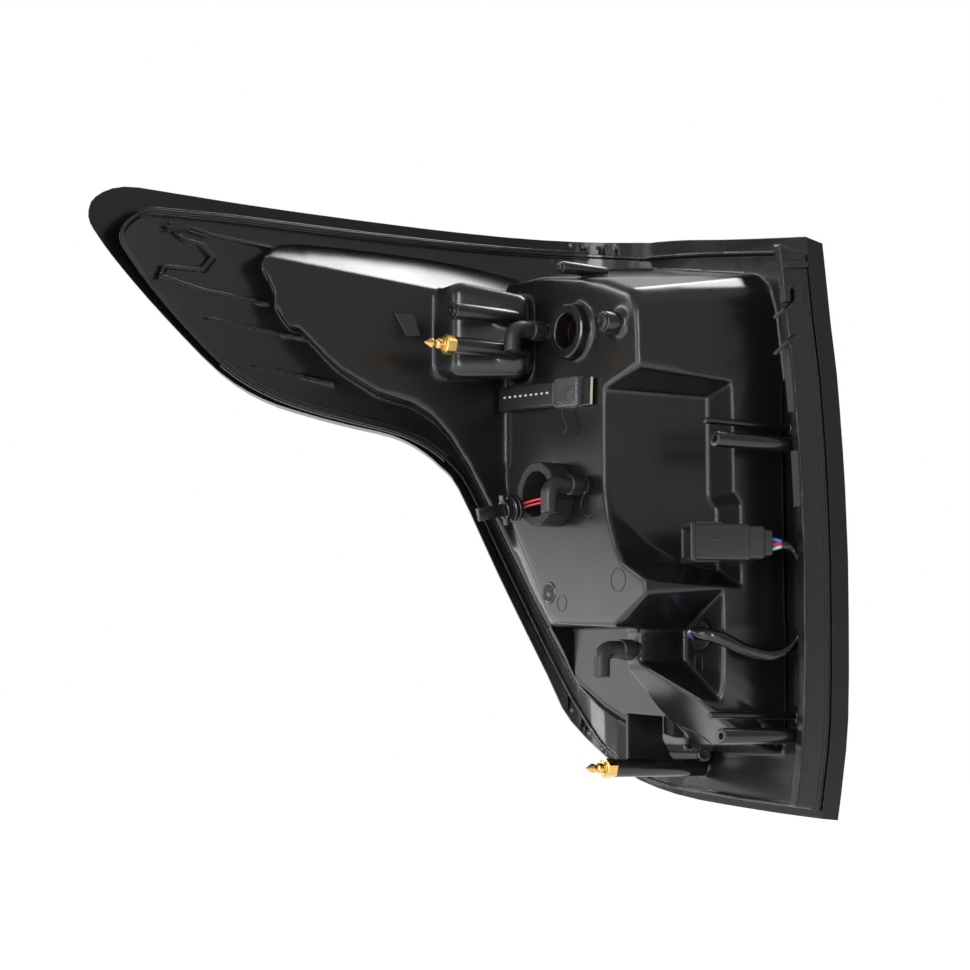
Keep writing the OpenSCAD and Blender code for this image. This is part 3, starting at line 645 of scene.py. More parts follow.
# The recess of the screw in the bulb face, and the ejector mark below the harness hole.
FACE_SCREW = (-10.8, -135.5)
ALCOVE_MARK = (-82.4, -175.4, 3.4, 1.9)
# The beads along the flange: distance inwards from its edge, and radius.
RIM_BEADS = ((0.25, 0.45), (2.7, 0.4))
RIM_REACH = 0.007


def ring_points(x, y, z, r, squash=1.0):
    """Points of an upright ring on a face across X."""
    return [(x, y + r * math.cos(a), z + r * squash * math.sin(a))
            for a in [2 * math.pi * k / 40 for k in range(40)]]


def add_loft(bm, near, far):
    """Joins two outlines of equal counts into one closed block."""
    skin(bm, [[bm.verts.new(at(*q)) for q in outline] for outline in (near, far)])


def pipe(length, outer, inner, depth, lip=0.5):
    """Profile of a tube with a blind bore at its tip and rounded edges."""
    return [(depth, 0), (depth, inner), (lip * 0.4, inner), (0, inner + lip * 0.4),
            (0, outer - lip), (lip * 0.3, outer - lip * 0.3), (lip, outer), (length, outer),
            (length, 0)]


class TAILLIGHT_OT_fittings(bpy.types.Operator):
    """Makes the tubes, rods, bosses and collars that stand on the housing"""
    bl_idname = "taillight.fittings"
    bl_label = "Tubes, rods and collars"

    def execute(self, context):
        s = context.scene.taillight_housing
        bm = bmesh.new()
        for tip in TUBES:
            add_lathe(bm, at(*tip), BACK, pipe(ROOT_X - tip[0], 4.22, 1.7, 22), 40)
        for tip in RODS:
            run = ROOT_X - tip[0]
            add_lathe(bm, at(*tip), BACK, [(0, 0), (0, 1.2), (0.5, 1.9), (run, 2.0), (run, 0)], 24)
        for x, y, z, r, run in SCREWS:
            add_lathe(bm, at(x, y, z), BACK, pipe(run, r + 0.03, r * 0.42, 5, 0.7), 40)
        add_lathe(bm, at(*UPPER_STUD), BACK, pipe(48, STUD_BOSS_R, 2.0, 3, 0.4), 40)
        add_lathe(bm, at(*LOWER_STUD), BACK, pipe(66, STUD_BOSS_R, 2.0, 3, 0.4), 40)
        for x, y, z, _ in ELBOWS.values():
            add_lathe(bm, at(x - 4, y, z), BACK,
                      [(0, 0), (0, 3.6), (2.6, 3.6), (3.2, 4.6), (4.4, 4.9), (4.4, 0)], 32)
        for tip, lean, r, run in BOTTOM_SCREWS:
            add_lathe(bm, at(*tip), lean, pipe(run, r, r * 0.45, 4, 0.6), 32)
        for near, far in WEDGES:
            add_loft(bm, near, far)
        add_tube(bm, curve_through(SCOOP, 5), 0.55, 8)
        self.upper_collar(bm)
        self.face_marks(bm)
        self.sheet(bm)
        self.rim_beads(bm)
        # The second material is painted shade, for the pit of the screw recess.
        new_piece("housing_fittings", bm, [abs_fittings(s), "recess_painted_shade"],
                  "rear_housing", smooth=40)
        return {"FINISHED"}

    @staticmethod
    def upper_collar(bm):
        """The collar of the upper bulb hole, its inner sleeve and its three lugs."""
        x, y, z = UPPER_HOLE
        add_lathe(bm, at(x - 7.5, y, z), BACK, [(0.6, 9.85), (0, 10.4), (0, 14.2), (0.8, 15.05),
                  (8.5, 15.3), (8.5, 9.8), (0.6, 9.85)], 72)
        add_lathe(bm, at(x + 2, y, z), BACK,
                  [(0, 9.85), (14, 9.85), (14, 10.5), (0, 10.5), (0, 9.85)], 60)
        for turn in (20, 140, 260):
            low, high = (x - 7.3, y + 9.3, z - 2.6), (x - 2, y + 11.2, z + 2.6)
            add_block(bm, low, high, 0.3, turned(turn, "X", at(x, y, z)), 2)

    @staticmethod
    def face_marks(bm):
        """Ejector marks, and the recess of the screw in the bulb face, its pit a disc of painted
        shade.
        """
        for y, z, r in FACE_CIRCLES:
            add_tube(bm, ring_points(BULB_FACE_X - 0.02, y, z, r), 0.28, 6, closed=True)
        add_tube(bm, ring_points(HARNESS_EXIT[0] - 0.02, *ALCOVE_MARK), 0.3, 6, closed=True)
        rim, pit = at(BULB_FACE_X - 0.6, *FACE_SCREW), at(BULB_FACE_X - 0.3, *FACE_SCREW)
        add_lathe(bm, rim, BACK, [(0.4, 4.6), (0, 5.2), (0, 5.8), (0.5, 6.3), (1.5, 6.3),
                  (1.5, 4.6), (0.4, 4.6)], 32)
        # The pit is a near-black matt disc: painted shade for the dark depth of the recess.
        add_lathe(bm, pit, BACK, [(0, 0), (0, 4.7), (1, 4.7), (1, 0)], 32, material=1)
        add_lathe(bm, rim, BACK, [(0, 0), (0, 1.2), (0.3, 2.2), (1, 2.2), (1, 0)], 24)

    @staticmethod
    def sheet(bm):
        """The sheet beside the lower face, 2 mm thick, with a bead on its right edge."""
        left, right = [[(p[0], p[2]) for p in curve_through([(x, 0, z) for x, z in line], 4)]
                       for line in (SHEET_LEFT, SHEET_RIGHT)]
        rings = [[bm.verts.new(at(x, SHEET_Y + up, z)) for x, z in left + right[::-1]]
                 for up in (0, 2)]
        skin(bm, rings, ends=False)
        for ring in rings:
            for k in range(len(left) - 1):
                bm.faces.new([ring[k], ring[k + 1], ring[-2 - k], ring[-1 - k]])
        add_tube(bm, [(x, SHEET_Y + 0.9, z) for x, z in right], 1.1, 12)

    @staticmethod
    def rim_beads(bm):
        """The rounded edge of the flange and a fine bead inside it, which draw the bright lines."""
        cad = cad_copy("rear_housing")
        near = seal_search()
        for edge in cad.edges:
            if len(edge.link_faces) != 2 or near.find_nearest(edge.verts[0].co)[3] > RIM_REACH:
                continue
            back, side = sorted((f.normal for f in edge.link_faces), key=lambda n: n.y)
            if back.y > -0.75 or abs(side.y) > 0.35:
                continue
            a, b = (v.co for v in edge.verts)
            for inward, radius in RIM_BEADS:
                shift = -side * inward * MM
                add_rod(bm, a + shift, b + shift, radius)
        cad.free()


# Lens and inner parts

LENS_DEPTH = 8
LENS_TRIANGLES = 120000
# Metres from the seal: where the border starts, and how far it reaches behind the wing.
BORDER_START = 0.0145
BORDER_BEHIND = 0.034
# The way that the lamp's back looks away from, and the most that a face there turns to it.
OUTBOARD = Vector((0.556, 0.825, 0.0))
INBOARD_TURN = 0.12


def cut_along(mesh, height):
    """Cuts the faces where height changes sign, so that two materials meet on a smooth line."""
    bm = bmesh.new()
    bm.from_mesh(mesh)
    heights = {v: height(v.co) for v in bm.verts}
    cuts = []
    for edge in list(bm.edges):
        a, b = edge.verts
        if heights[a] * heights[b] < 0:
            share = heights[a] / (heights[a] - heights[b])
            cuts.append(bmesh.utils.edge_split(edge, a, min(max(share, 0.05), 0.95))[1])
    bmesh.ops.connect_verts(bm, verts=cuts)
    bm.to_mesh(mesh)
    bm.free()


class LensSettings(bpy.types.PropertyGroup):
    red: FloatVectorProperty(name="Red", description="Colour of the see-through acrylic",
                             subtype="COLOR", size=3, default=(0.44, 0.006, 0.009), min=0, max=1)
    border: FloatProperty(name="Black border", default=0.011, min=0.004, max=0.03, unit="LENGTH",
                          description="Sets the width of the black border of the lens")


class TAILLIGHT_OT_lens(bpy.types.Operator):
    """Makes the red lens with its black border, and dresses what is behind it"""
    bl_idname = "taillight.lens"
    bl_label = "Outer lens"

    def execute(self, context):
        s = context.scene.taillight_lens
        mesh = thinned(remeshed("outer_lens", LENS_DEPTH), LENS_TRIANGLES)
        near = seal_search()
        border = BORDER_START + s.border * 0.4
        cut_along(mesh, lambda co: near.find_nearest(co)[3] - border)
        low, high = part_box("outer_lens")
        middle = (Vector(low) + Vector(high)) / 2
        for face in mesh.polygons:
            gap = near.find_nearest(face.center)[3]
            outside = face.normal.dot(face.center - middle) > 0
            inboard = face.normal.dot(OUTBOARD) < INBOARD_TURN
            dark = gap < border or (inboard and (outside or gap < BORDER_BEHIND))
            face.material_index = 0 if dark else 1
        new_piece("lens_shell", mesh, ["pmma_border", pmma_red(s)], "outer_lens")
        mirror = stock("aluminised")
        dress({"inner_bezel": stock("abs_gloss"), "lens_seal": stock("butyl_bead"),
               "light_guide": clear_plastic(), "led_board": stock("board_laminate"),
               "upper_reflector": mirror, "lower_reflector": mirror,
               "socket_bridge": stock("nylon_black")})
        return {"FINISHED"}


# Ball studs: the hexagon and the turned stem with its ball, as distances and radii.

STUD_HEXAGON = [(0, 0), (0, 4.7), (0.5, 5.6), (6.0, 5.6), (6.5, 4.8), (6.5, 0)]
STUD_STEM = [(0, 0), (0, 3.7), (0.2, 3.8), (0.8, 3.8), (1.0, 3.6), (1.0, 2.75), (1.3, 2.8),
             (3.7, 2.8), (4.2, 2.6), (4.6, 2.1), (5.0, 1.76), (5.9, 1.74), (6.4, 2.1),
             (6.9, 2.5), (7.6, 2.62), (8.2, 2.5), (10.6, 1.1), (11.6, 0.6), (12.1, 0.2), (12.2, 0)]


class TAILLIGHT_OT_studs(bpy.types.Operator):
    """Turns the two brass ball studs"""
    bl_idname = "taillight.studs"
    bl_label = "Ball studs"

    def execute(self, context):
        brass = turned_brass()
        for name, (x, y, z) in (("upper", UPPER_STUD), ("lower", LOWER_STUD)):
            bm = bmesh.new()
            add_lathe(bm, at(x, y, z), (-1, 0, 0), STUD_HEXAGON, 6)
            add_lathe(bm, at(x - STUD_HEXAGON[-1][0], y, z), (-1, 0, 0), STUD_STEM, 40)
            new_piece(name + "_stud", bm, [brass], name + "_ball_stud", smooth=38)
        return {"FINISHED"}


# Vent elbows: the place of each nipple, and the drop of the hose.

ELBOWS = {"upper_vent_elbow": (57, -9, 11.5, 13), "middle_vent_elbow": (57, -44, -78.5, 16),
          "lower_vent_elbow": (75, -66, -168.5, 15)}
ELBOW_REACH = 23.5
ELBOW_BEND = 7.0
ELBOW_R = 4.7
ELBOW_BORE = 3.1
ELBOW_BORE_DEPTH = 8
ELBOW_CUFF = [(0, 4.3), (0, 5.2), (0.5, 5.68), (7.4, 5.68), (8, 5.3), (8, 3.3), (7.6, 3.2),
              (7.6, 0)]


class TAILLIGHT_OT_elbows(bpy.types.Operator):
    """Moulds the three rubber vent elbows"""
    bl_idname = "taillight.elbows"
    bl_label = "Vent elbows"

    def execute(self, context):
        rubber = stock("epdm_rubber")
        sides = 40
        along_x, along_y = Vector(BACK), Vector((0, 1, 0))
        for name, (x, y, z, drop) in ELBOWS.items():
            bm = bmesh.new()
            near, low = x - ELBOW_REACH, z - drop
            line = [(x - 3, z), (x - 8, z), (near + ELBOW_BEND, z)]
            for a in (math.radians(9 * k) for k in range(1, 10)):
                line.append((near + ELBOW_BEND * (1 - math.sin(a)),
                             z - ELBOW_BEND * (1 - math.cos(a))))
            line += [(near, z - (drop + ELBOW_BEND) / 2), (near, low + 0.5), (near, low)]
            rings = []
            for i, (px, pz) in enumerate(line):
                end = i in (0, len(line) - 1)
                bx, bz = line[max(i - 1, 0)]
                fx, fz = line[min(i + 1, len(line) - 1)]
                ahead = Vector((fx - bx, 0, fz - bz)).normalized()
                up = Vector((-ahead.z, 0, ahead.x))
                rings.append(add_circle(bm, at(px, y, pz), up, along_y,
                                        ELBOW_R - (0.45 if end else 0), sides))
            for rise in (0, ELBOW_BORE_DEPTH):
                mouth = add_circle(bm, at(near, y, low + rise), along_x, along_y, ELBOW_BORE, sides)
                rings.append(matched(mouth, rings[-1]))
            skin(bm, rings)
            add_lathe(bm, at(x - 11, y, z), BACK, ELBOW_CUFF, sides)
            new_piece("rubber_" + name, bm, [rubber], name, smooth=40)
        return {"FINISHED"}


# Lower bulb hole: foam ring, holder and wires

HOLDER = (36, -6, -89)
HOLDER_DROOP = -12
FRONT_WIRE = [(38.3, -6, -89.4), (41.5, -7.2, -88.6), (45, -10, -87.2), (49, -14, -86),
              (53, -18, -85.4), (57.5, -20.6, -85), (63, -21.5, -85)]
REAR_WIRE = [(38.3, -6, -87.2), (41.5, -7.2, -86.4), (45, -10, -85), (49, -14, -83.8),
             (53, -18, -83.2), (57.5, -20.6, -82.8), (63, -21.5, -82.8)]
WIRE_R = 0.8
FOAM_RING = [(0.3, 13.05), (0, 13.4), (0, 17.4), (0.5, 17.9), (13.9, 18.0), (13.9, 13.0),
             (0.3, 13.05)]
HOLDER_FLANGE = [(0, 0), (0, 6.9), (0.5, 7.4), (2.2, 7.4), (2.6, 6.9), (3.0, 6.9), (3.4, 7.4),
                 (5.0, 7.45), (5.5, 6.9), (5.5, 0)]


class TAILLIGHT_OT_holder(bpy.types.Operator):
    """Makes the foam ring, the hanging bulb holder and its two red wires"""
    bl_idname = "taillight.holder"
    bl_label = "Foam ring and holder"

    def execute(self, context):
        bm = bmesh.new()
        x, y, z = LOWER_HOLE
        add_lathe(bm, at(x - 14, y, z), BACK, FOAM_RING, 12)
        mesh = finish_mesh("ring_foam", bm)
        for face in mesh.polygons:
            face.material_index = 0 if face.normal.x < -0.7 else 1
        new_piece("ring_foam", mesh, [foam_cut(), "foam_skin"], "foam_ring", smooth=20)
        bm = bmesh.new()
        x, y, z = HOLDER
        add_lathe(bm, at(x - 3, y, z), BACK, HOLDER_FLANGE, 48)
        add_lathe(bm, at(x - 7, y, z), BACK, [(0, 0), (0, 5), (0.4, 5.4), (4.4, 5.4), (4.4, 0)], 40)
        for low, high, radius in (((-24, -1.3, -3.5), (-5, 1.3, 3.5), 0.5),
                                  ((-24, -1.9, 2.2), (-7, 1.9, 3.6), 0.4),
                                  ((-7, -2, -8.4), (-4.4, 2, 8.4), 0.5)):
            add_block(bm, np.add(HOLDER, low), np.add(HOLDER, high), radius)
        bmesh.ops.transform(bm, matrix=turned(HOLDER_DROOP, "Y", at(*HOLDER)), verts=bm.verts[:])
        holder = new_piece("holder_body", bm, ["nylon_black"], "bulb_holder")
        red = pvc("pvc_red", "#c8151b")
        for name, route in (("front", FRONT_WIRE), ("rear", REAR_WIRE)):
            bm = bmesh.new()
            back = add_tube(bm, curve_through(route, 6), WIRE_R, 12)[::-1]
            wire = new_piece("red_wire_" + name, bm, [red], "holder_wire_" + name,
                             smooth=60)
        return {"FINISHED"}


# Harness

HARNESS_EXIT = (105, -85.5, -160.5)
CABLE = [HARNESS_EXIT, (101, -85.5, -160.5), (96.5, -86.9, -160.4), (93.2, -90.6, -160.2),
         (92, -96.5, -160.2), (93.3, -103, -160.8), (96.9, -108.2, -162.4), (102.5, -111.7, -165.2),
         (109.5, -113.8, -168.4), (117.5, -116, -170.8), (125.5, -118.6, -171.8),
         (132.7, -121, -170.2), (138.3, -123.2, -165.7), (141.6, -124.6, -159.2),
         (142.5, -125.4, -151), (142.6, -125.8, -141), (142.5, -126.2, -131),
         (141.3, -126.9, -124), (138, -127.1, -118.2), (133.1, -126.6, -114.2),
         (126.9, -124.8, -112.6)]
CABLE_R = 4.0
SLEEVE_START = 3.9
PLUG = (80.9, -105.1, -112.6)
PLUG_YAW = -23.2
PLUG_L = 30.0
PLUG_W = 19.5
CAP_L = 9.5
NECK_L = 4.5
TAIL_L = 6.0
# The wires at the harness hole and at the plug: their colours, and the plug's four places.
CORE_COLOURS = ("#2c6fbf", "#c8202a", "#2f6db4", "#d9dfe6")
TAIL_COLOURS = ("#2f7fd0", "#c8202a", "#b9d4ee", "#16306e")
TAIL_PLACES = ((-2.2, 2.2), (-2.6, -0.4), (-2.0, -2.8), (0.4, 0.2))
GROMMET = [(0.6, 2.3), (0.2, 3.2), (0.2, 5.2), (0.9, 5.6), (0.9, 6.3), (0, 6.7), (0, 7.5),
           (0.5, 8.0), (1.5, 8.0), (1.5, 6), (4, 6), (4, 2.3), (0.6, 2.3)]


class TAILLIGHT_OT_harness(bpy.types.Operator):
    """Makes the sleeved cable, its grommet and the plug"""
    bl_idname = "taillight.harness"
    bl_label = "Harness and plug"

    def execute(self, context):
        on_cable = self.plug()
        bm = bmesh.new()
        line = curve_through(CABLE, 8)
        first = int(SLEEVE_START * 8)
        add_tube(bm, line[first:], CABLE_R, 28, wobble=self.crease)
        for number in range(4):
            twisted = self.strand(line[:first + 4], 90 * number + 40, 1.15)
            add_tube(bm, twisted, 1.0, 12, material=number + 1)
        cores = [pvc("pvc_core_%d" % i, c) for i, c in enumerate(CORE_COLOURS)]
        cable = new_piece("cable_sleeve", bm, ["pvc_sleeve", *cores],
                          "harness_cable", smooth=60)
        bm = bmesh.new()
        x, y, z = HARNESS_EXIT
        add_lathe(bm, at(x - 1.5, y, z), BACK, GROMMET, 48)
        new_piece("cable_grommet", bm, ["epdm_rubber"], "harness_grommet")
        return {"FINISHED"}

    @staticmethod
    def crease(t, a):
        """Soft folds of the sleeve, deepest where it is pinched at its start."""
        pinch = math.exp(-t * 9)
        drawn = 0.24 * min(max((t - 0.12) / 0.4, 0), 1)
        return (0.955 - drawn + 0.03 * math.sin(t * 37 + 2 * a) + 0.012 * math.sin(t * 90 + 3 * a)
                - pinch * (0.16 + 0.13 * math.cos(2 * a + t * 20)))

    @staticmethod
    def strand(line, start, offset):
        """One wire of a bundle, which turns slowly about the bundle's middle."""
        out = []
        for i, q in enumerate(line):
            ahead = Vector(line[min(i + 1, len(line) - 1)]) - Vector(line[max(i - 1, 0)])
            side = ahead.cross(Vector((0, 0, 1))).normalized()
            up = side.cross(ahead).normalized()
            a = math.radians(start + 5 * i)
            out.append(Vector(q) + (side * math.cos(a) + up * math.sin(a)) * offset)
        return out

    def plug(self):
        """The plug: mouth, shell with its slots, cap, neck, terminals and wires."""
        lay = Matrix.Translation(at(*PLUG)) @ Matrix.Rotation(math.radians(PLUG_YAW), 4, "Z") \
            @ Matrix.Translation(-at(0, 0, 0))
        h = PLUG_W / 2
        bm = bmesh.new()
        inner = [rounded_square(bm, x, half, 1.2) for x, half in
                 ((PLUG_L - 10, h - 2.1), (0.6, h - 2.0), (-1.2, h - 1.9), (-1.9, h - 1.3))]
        outer = [rounded_square(bm, x, half, 1.6) for x, half in
                 ((-1.9, h + 0.4), (-1.5, h + 0.9), (0.3, h + 0.9), (0.9, h + 0.1),
                  (1.4, h - 0.05), (PLUG_L, h - 0.05))]
        skin(bm, inner + outer)
        for low, high in (((9.5, -1.4), (13.7, -0.9)), ((9.5, 1.0), (13.7, 1.5)),
                          ((12.9, -1.4), (13.5, 1.5))):
            add_block(bm, (low[0], -h - 0.2, low[1]), (high[0], -h + 0.2, high[1]), 0.15,
                      segments=1)
        add_block(bm, (1, -5.5, -h - 0.85), (15, 5.5, -h + 0.2), 0.35, segments=2)
        add_block(bm, (1, -h + 0.4, h - 0.3), (15.5, -h + 1.6, h + 0.75), 0.3, segments=2)
        bmesh.ops.transform(bm, matrix=lay, verts=bm.verts[:])
        shell = new_piece("plug_shell", bm, ["pbt_black"], "connector_shell")
        bm = bmesh.new()
        w = h - 1
        skin(bm, [rounded_square(bm, PLUG_L + x, half, 1.4) for x, half in
                  ((0, w - 0.35), (0.35, w), (CAP_L - 1.4, w), (CAP_L, w - 1.1), (CAP_L, w - 1.6),
                   (CAP_L + NECK_L - 0.5, w - 2.0), (CAP_L + NECK_L, w - 2.6))])
        for low, high in (((5.2, 0.1), (8.2, 0.6)), ((5.2, -1.6), (8.2, -1.1)),
                          ((4.8, -1.3), (5.3, 0.3))):
            add_block(bm, (PLUG_L + low[0], -w - 0.15, low[1]),
                      (PLUG_L + high[0], -w + 0.3, high[1]), 0.12, segments=1)
        bmesh.ops.transform(bm, matrix=lay, verts=bm.verts[:])
        lid = new_piece("plug_cap", bm, ["pbt_black"], "connector_cap")
        dress({"connector_terminals": stock("tinned_copper")})
        bm = bmesh.new()
        x = PLUG_L + CAP_L + NECK_L
        for number, (y, z) in enumerate(TAIL_PLACES):
            route = [(x - 1, y, z), (x + 1.5, y, z * 0.98), (x + 3.6, y * 0.9, z * 0.8),
                     (x + TAIL_L, y * 0.7, z * 0.55)]
            add_tube(bm, curve_through(route, 4), 1.1, 12, material=number)
        bmesh.ops.transform(bm, matrix=lay, verts=bm.verts[:])
        tails = new_piece("plug_wires", bm,
                          [pvc("pvc_tail_%d" % i, c) for i, c in enumerate(TAIL_COLOURS)],
                          "connector_wires", smooth=60)
        return [shell, lid, tails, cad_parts["connector_terminals"]]


# Control module: where it lies on the bulb face, the size of its sleeve and card, and its dashes

MODULE = (57, 29, -23)
MODULE_TILT = 3.0
SLEEVE = (7.0, 54.0, 14.0)
CARD_OUT = 29.9
CARD_OVER = 0.45
WRAP_RUN = 22
DASHES = 9
DASH = (0.05, 2.3, 1.1)
DASH_STEP = 5.2
MODULE_LEAD = [(52.6, -30.3, -31.5), (52.4, -30.6, -38), (52.4, -34.2, -44.5), (52.4, -34.8, -46),
               (52.6, -31.4, -49.3)]


class TAILLIGHT_OT_module(bpy.types.Operator):
    """Makes the sleeved control board with its capacitor and tie"""
    bl_idname = "taillight.module"
    bl_label = "Control module"

    def execute(self, context):
        x, y, z = MODULE
        deep, run, high = SLEEVE
        half, end = high / 2, y - run
        tilt = turned(MODULE_TILT, "X", at(*MODULE))
        bm = bmesh.new()
        add_block(bm, (x - deep, end, z - half), (x, y, z + half), 1.3, tilt, 4)
        new_piece("module_tube", bm, ["shrink_sleeve"], "module_sleeve", smooth=40)
        dashes = repeated("module_marks", [v * MM for v in DASH], DASHES,
                          at(x - deep - 0.03, y - 6.5, z + 0.6), (0, -DASH_STEP * MM, 0),
                          stock("white_ink"))
        dashes.transform(tilt)
        new_piece("module_marks", dashes, [], "module_sleeve", smooth=0)
        bm = bmesh.new()
        add_block(bm, (x - deep / 2, end - CARD_OUT, z - half - CARD_OVER),
                  (x - deep / 2 + 1.6, end, z + half + CARD_OVER), 0, tilt)
        mesh = finish_mesh("module_card", bm)
        for face in mesh.polygons:
            face.material_index = 0 if abs(face.normal.x) > 0.7 else 1
        new_piece("module_card", mesh, ["board_laminate", "board_edge"],
                  "module_board", smooth=0)
        bm = bmesh.new()
        add_block(bm, (x - deep, end - WRAP_RUN, z - half - 1.4),
                  (x - 0.1, end + 0.5, z + half + 1.4), 1.6, tilt, 4)
        new_piece("module_clear", bm, [clear_plastic()], "module_wrap", smooth=40)
        bm = bmesh.new()
        add_lathe(bm, tilt @ at(x - deep + 1.0, end - 14, z), BACK,
                  [(0, 0), (0.15, 2.4), (0.6, 3.8), (1.4, 4.35), (2.5, 4.4), (2.5, 0)], 40)
        new_piece("module_can", bm, ["nylon_black"], "module_capacitor", smooth=50)
        bm = bmesh.new()
        add_tube(bm, curve_through(MODULE_LEAD, 6), 0.55, 8)
        new_piece("module_lead", bm, ["shrink_sleeve"], "module_tie", smooth=60)
        return {"FINISHED"}


# Screws, foam and small trim


class TAILLIGHT_OT_trim(bpy.types.Operator):
    """Makes the case screws and dresses the foam pads"""
    bl_idname = "taillight.trim"
    bl_label = "Screws and foam"

    def execute(self, context):
        bm = bmesh.new()
        for x, y, z, r, _ in SCREWS:
            h = r - 1
            add_lathe(bm, at(x - 1.6, y, z), BACK,
                      [(0.9, 0), (0.9, h * 0.32), (0.1, h * 0.42), (0.05, h * 0.6),
                       (0.35, h * 0.9), (0.8, h), (1.6, h), (1.6, 0)], 32)
        new_piece("case_screw_heads", bm, ["zinc_screw"], "case_screws")
        dress({"foam_strip": stock("foam_pad")})
        return {"FINISHED"}


# Stage


class StageSettings(bpy.types.PropertyGroup):
    azimuth: FloatProperty(name="Azimuth", default=-34.0,
                           description="Turn of the view, in degrees")
    elevation: FloatProperty(name="Elevation", default=-6.0,
                             description="Height of the view, in degrees")
    lens: FloatProperty(name="Lens", default=89.07, min=20, max=300,
                        description="Focal length on a 36 mm square sensor, in millimetres")
    eye: FloatVectorProperty(name="Eye", description="Place of the camera, from the stud's seat",
                             subtype="TRANSLATION", size=3, default=(-0.7173, -1.095, -0.2152))
    level: FloatProperty(name="Light level", default=1.0, min=0,
                         description="Level of all the lamps")
    floor_drop: FloatProperty(name="Floor drop", description="Height of the lamp above the floor",
                              default=0.12, min=0, unit="LENGTH")

    @staticmethod
    def lamps():
        """Name, place from the object's middle, size in metres and radiance of each softbox."""
        return [("top_strip", (0.6, 0.1, 1.05), (0.7, 0.22), 11.0),
                ("side_strip", (-1.04, -0.69, 0.13), (0.18, 1.2), 17.0),
                ("side_panel", (-1.17, 0.27, 0.12), (0.5, 0.8), 3.2),
                ("low_panel", (-0.83, 1.23, -0.07), (0.9, 0.36), 2.4),
                ("high_panel", (-0.78, 1.16, 0.62), (0.9, 0.3), 8.0)]


def add_light(name, place, target, size, power):
    """A soft rectangular light aimed at a point."""
    data = bpy.data.lights.new(name, "AREA")
    data.shape = "RECTANGLE"
    data.size, data.size_y = size
    data.energy = power
    lamp = add_object(name, data)
    lamp.location = place
    lamp.rotation_euler = (target - place).to_track_quat("-Z", "Y").to_euler()
    lamp.visible_camera = False


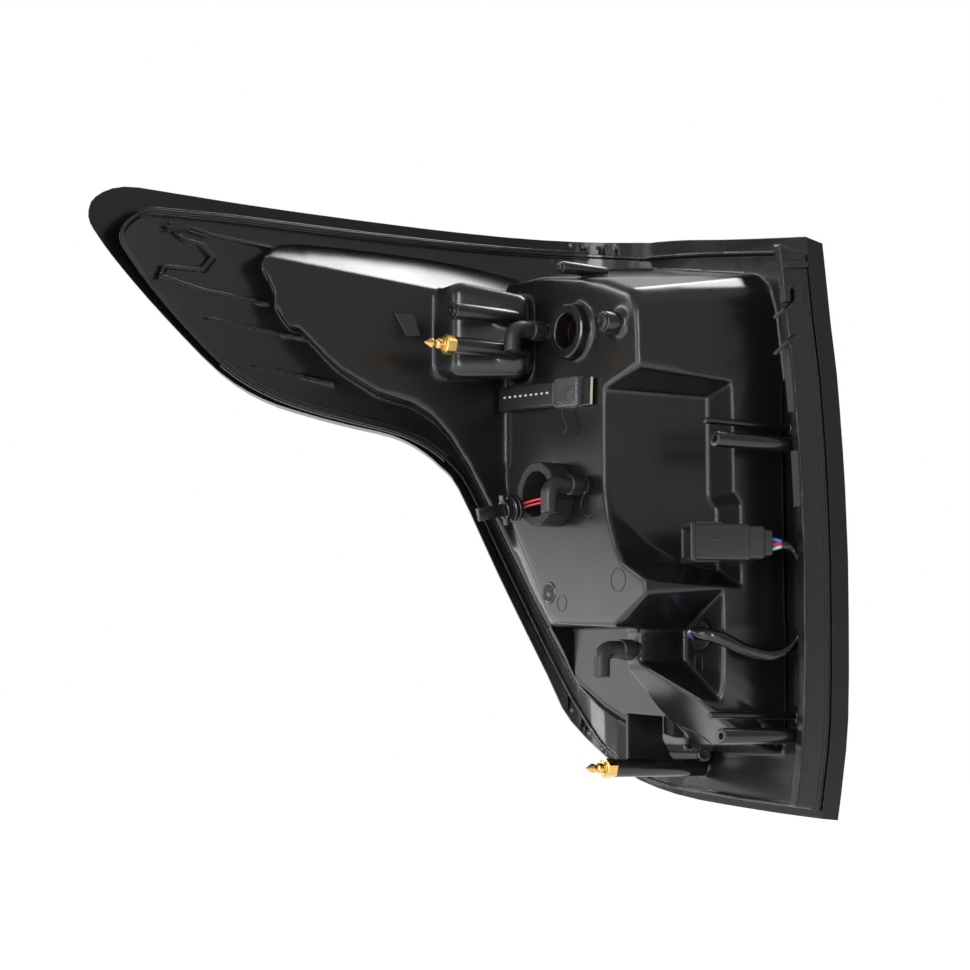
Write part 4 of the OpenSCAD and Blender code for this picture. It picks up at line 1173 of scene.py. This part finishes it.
class TAILLIGHT_OT_stage(bpy.types.Operator):
    """Sets the floor, the soft lights, the surroundings and the camera"""
    bl_idname = "taillight.stage"
    bl_label = "Studio"

    def execute(self, context):
        scene = context.scene
        s = scene.taillight_stage
        scene.view_settings.view_transform = "Standard"
        low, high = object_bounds()
        middle = (Vector(low) + Vector(high)) / 2
        self.floor(low[2] - s.floor_drop)
        self.surroundings(scene)
        for name, offset, size, radiance in s.lamps():
            power = radiance * math.pi * size[0] * size[1]
            add_light(name, middle + Vector(offset), middle, size, power * s.level)
        data = bpy.data.cameras.new("camera")
        data.lens = s.lens
        data.sensor_width = 36
        data.clip_end = 20
        a, e = math.radians(s.azimuth), math.radians(s.elevation)
        back = Vector((math.sin(a) * math.cos(e), -math.cos(a) * math.cos(e), math.sin(e)))
        right = (-back).cross(Vector((0, 0, 1))).normalized()
        turn = Matrix((right, right.cross(-back), back)).transposed().to_4x4()
        scene.camera = add_object("camera", data)
        eye = Vector(s.eye) + Vector((SEAT_X * MM, 0, 0))
        scene.camera.matrix_world = Matrix.Translation(eye) @ turn
        return {"FINISHED"}

    def floor(self, height):
        """A pale floor that is white to the eye and to reflections, and still takes a shadow."""
        bm = bmesh.new()
        bmesh.ops.create_grid(bm, x_segments=1, y_segments=1, size=6)
        for vert in bm.verts:
            vert.co.z = height
        mesh = bpy.data.meshes.new("floor")
        bm.to_mesh(mesh)
        bm.free()
        made, tree, output, _ = start_material("floor_white")
        diffuse = add_node(tree, "ShaderNodeBsdfDiffuse", values={"Color": linear("#f4f4f4")})
        glow = add_node(tree, "ShaderNodeEmission",
                        values={"Color": (1, 1, 1, 1), "Strength": 0.55})
        both = add_node(tree, "ShaderNodeAddShader", {0: diffuse.outputs[0], 1: glow.outputs[0]})
        seen = self.seen_by(tree, "Is Camera Ray", "Is Glossy Ray", "Is Transmission Ray")
        mixed = add_node(tree, "ShaderNodeMixShader",
                         {0: seen, 1: diffuse.outputs[0], 2: both.outputs[0]})
        tree.links.new(mixed.outputs[0], output.inputs["Surface"])
        mesh.materials.append(made)
        add_object("floor", mesh)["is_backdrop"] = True

    @staticmethod
    def seen_by(tree, *kinds):
        """A socket that is 1 for the named kinds of ray, and 0 for the others."""
        path = add_node(tree, "ShaderNodeLightPath")
        level = path.outputs[kinds[0]]
        for kind in kinds[1:]:
            level = add_node(tree, "ShaderNodeMath", {0: level, 1: path.outputs[kind]},
                             operation="MAXIMUM").outputs[0]
        return level

    def surroundings(self, scene):
        """White beyond the lamp, to the eye, in gloss and through the lens; darker in front."""
        world = bpy.data.worlds.new("studio")
        scene.world = world
        world.use_nodes = True
        tree = world.node_tree
        tree.nodes.clear()
        way = add_node(tree, "ShaderNodeTexCoord").outputs["Generated"]
        ahead = add_node(tree, "ShaderNodeVectorMath", {0: way}, {1: (0.83, 0.56, 0)},
                         operation="DOT_PRODUCT")
        side = add_node(tree, "ShaderNodeMapRange", {"Value": ahead.outputs["Value"]},
                        {"From Min": 0.1, "From Max": 0.7, "To Min": 0.48, "To Max": 1.0})
        dim = add_node(tree, "ShaderNodeMath", {0: side.outputs[0]}, {1: 0.85},
                       operation="MULTIPLY")
        shiny = self.seen_by(tree, "Is Glossy Ray")
        gloss = add_node(tree, "ShaderNodeMix",
                         {0: shiny, 2: dim.outputs[0], 3: side.outputs[0]}, data_type="FLOAT")
        direct = self.seen_by(tree, "Is Camera Ray", "Is Transmission Ray")
        level = add_node(tree, "ShaderNodeMath", {0: gloss.outputs[0], 1: direct},
                         operation="MAXIMUM")
        back = add_node(tree, "ShaderNodeBackground", {"Strength": level.outputs[0]},
                        {"Color": (1, 1, 1, 1)})
        output = add_node(tree, "ShaderNodeOutputWorld")
        tree.links.new(back.outputs[0], output.inputs["Surface"])


class TAILLIGHT_PT_panel(bpy.types.Panel):
    """Lists the pieces in the sidebar"""
    bl_idname = "TAILLIGHT_PT_panel"
    bl_label = "Tail light cluster"
    bl_space_type = "VIEW_3D"
    bl_region_type = "UI"
    bl_category = "Tail light"

    def draw(self, context):
        for operator in OPERATORS:
            self.layout.operator(operator.bl_idname)
        for group in GROUPS:
            box = self.layout.box()
            for name in GROUPS[group].__annotations__:
                box.prop(getattr(context.scene, group), name)


GROUPS = {"taillight_housing": HousingSettings, "taillight_lens": LensSettings,
          "taillight_stage": StageSettings}
OPERATORS = [TAILLIGHT_OT_housing, TAILLIGHT_OT_fittings, TAILLIGHT_OT_lens, TAILLIGHT_OT_studs,
             TAILLIGHT_OT_elbows, TAILLIGHT_OT_holder, TAILLIGHT_OT_harness, TAILLIGHT_OT_module,
             TAILLIGHT_OT_trim, TAILLIGHT_OT_stage]


def register():
    for group, kind in GROUPS.items():
        bpy.utils.register_class(kind)
        setattr(bpy.types.Scene, group, PointerProperty(type=kind))
    for kind in OPERATORS + [TAILLIGHT_PT_panel]:
        bpy.utils.register_class(kind)


def unregister():
    for kind in OPERATORS + [TAILLIGHT_PT_panel]:
        bpy.utils.unregister_class(kind)
    for group, kind in GROUPS.items():
        delattr(bpy.types.Scene, group)
        bpy.utils.unregister_class(kind)


def main():
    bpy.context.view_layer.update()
    register()
    for operator in OPERATORS:
        group, name = operator.bl_idname.split(".")
        getattr(getattr(bpy.ops, group), name)()


if __name__ == "__main__":
    main()
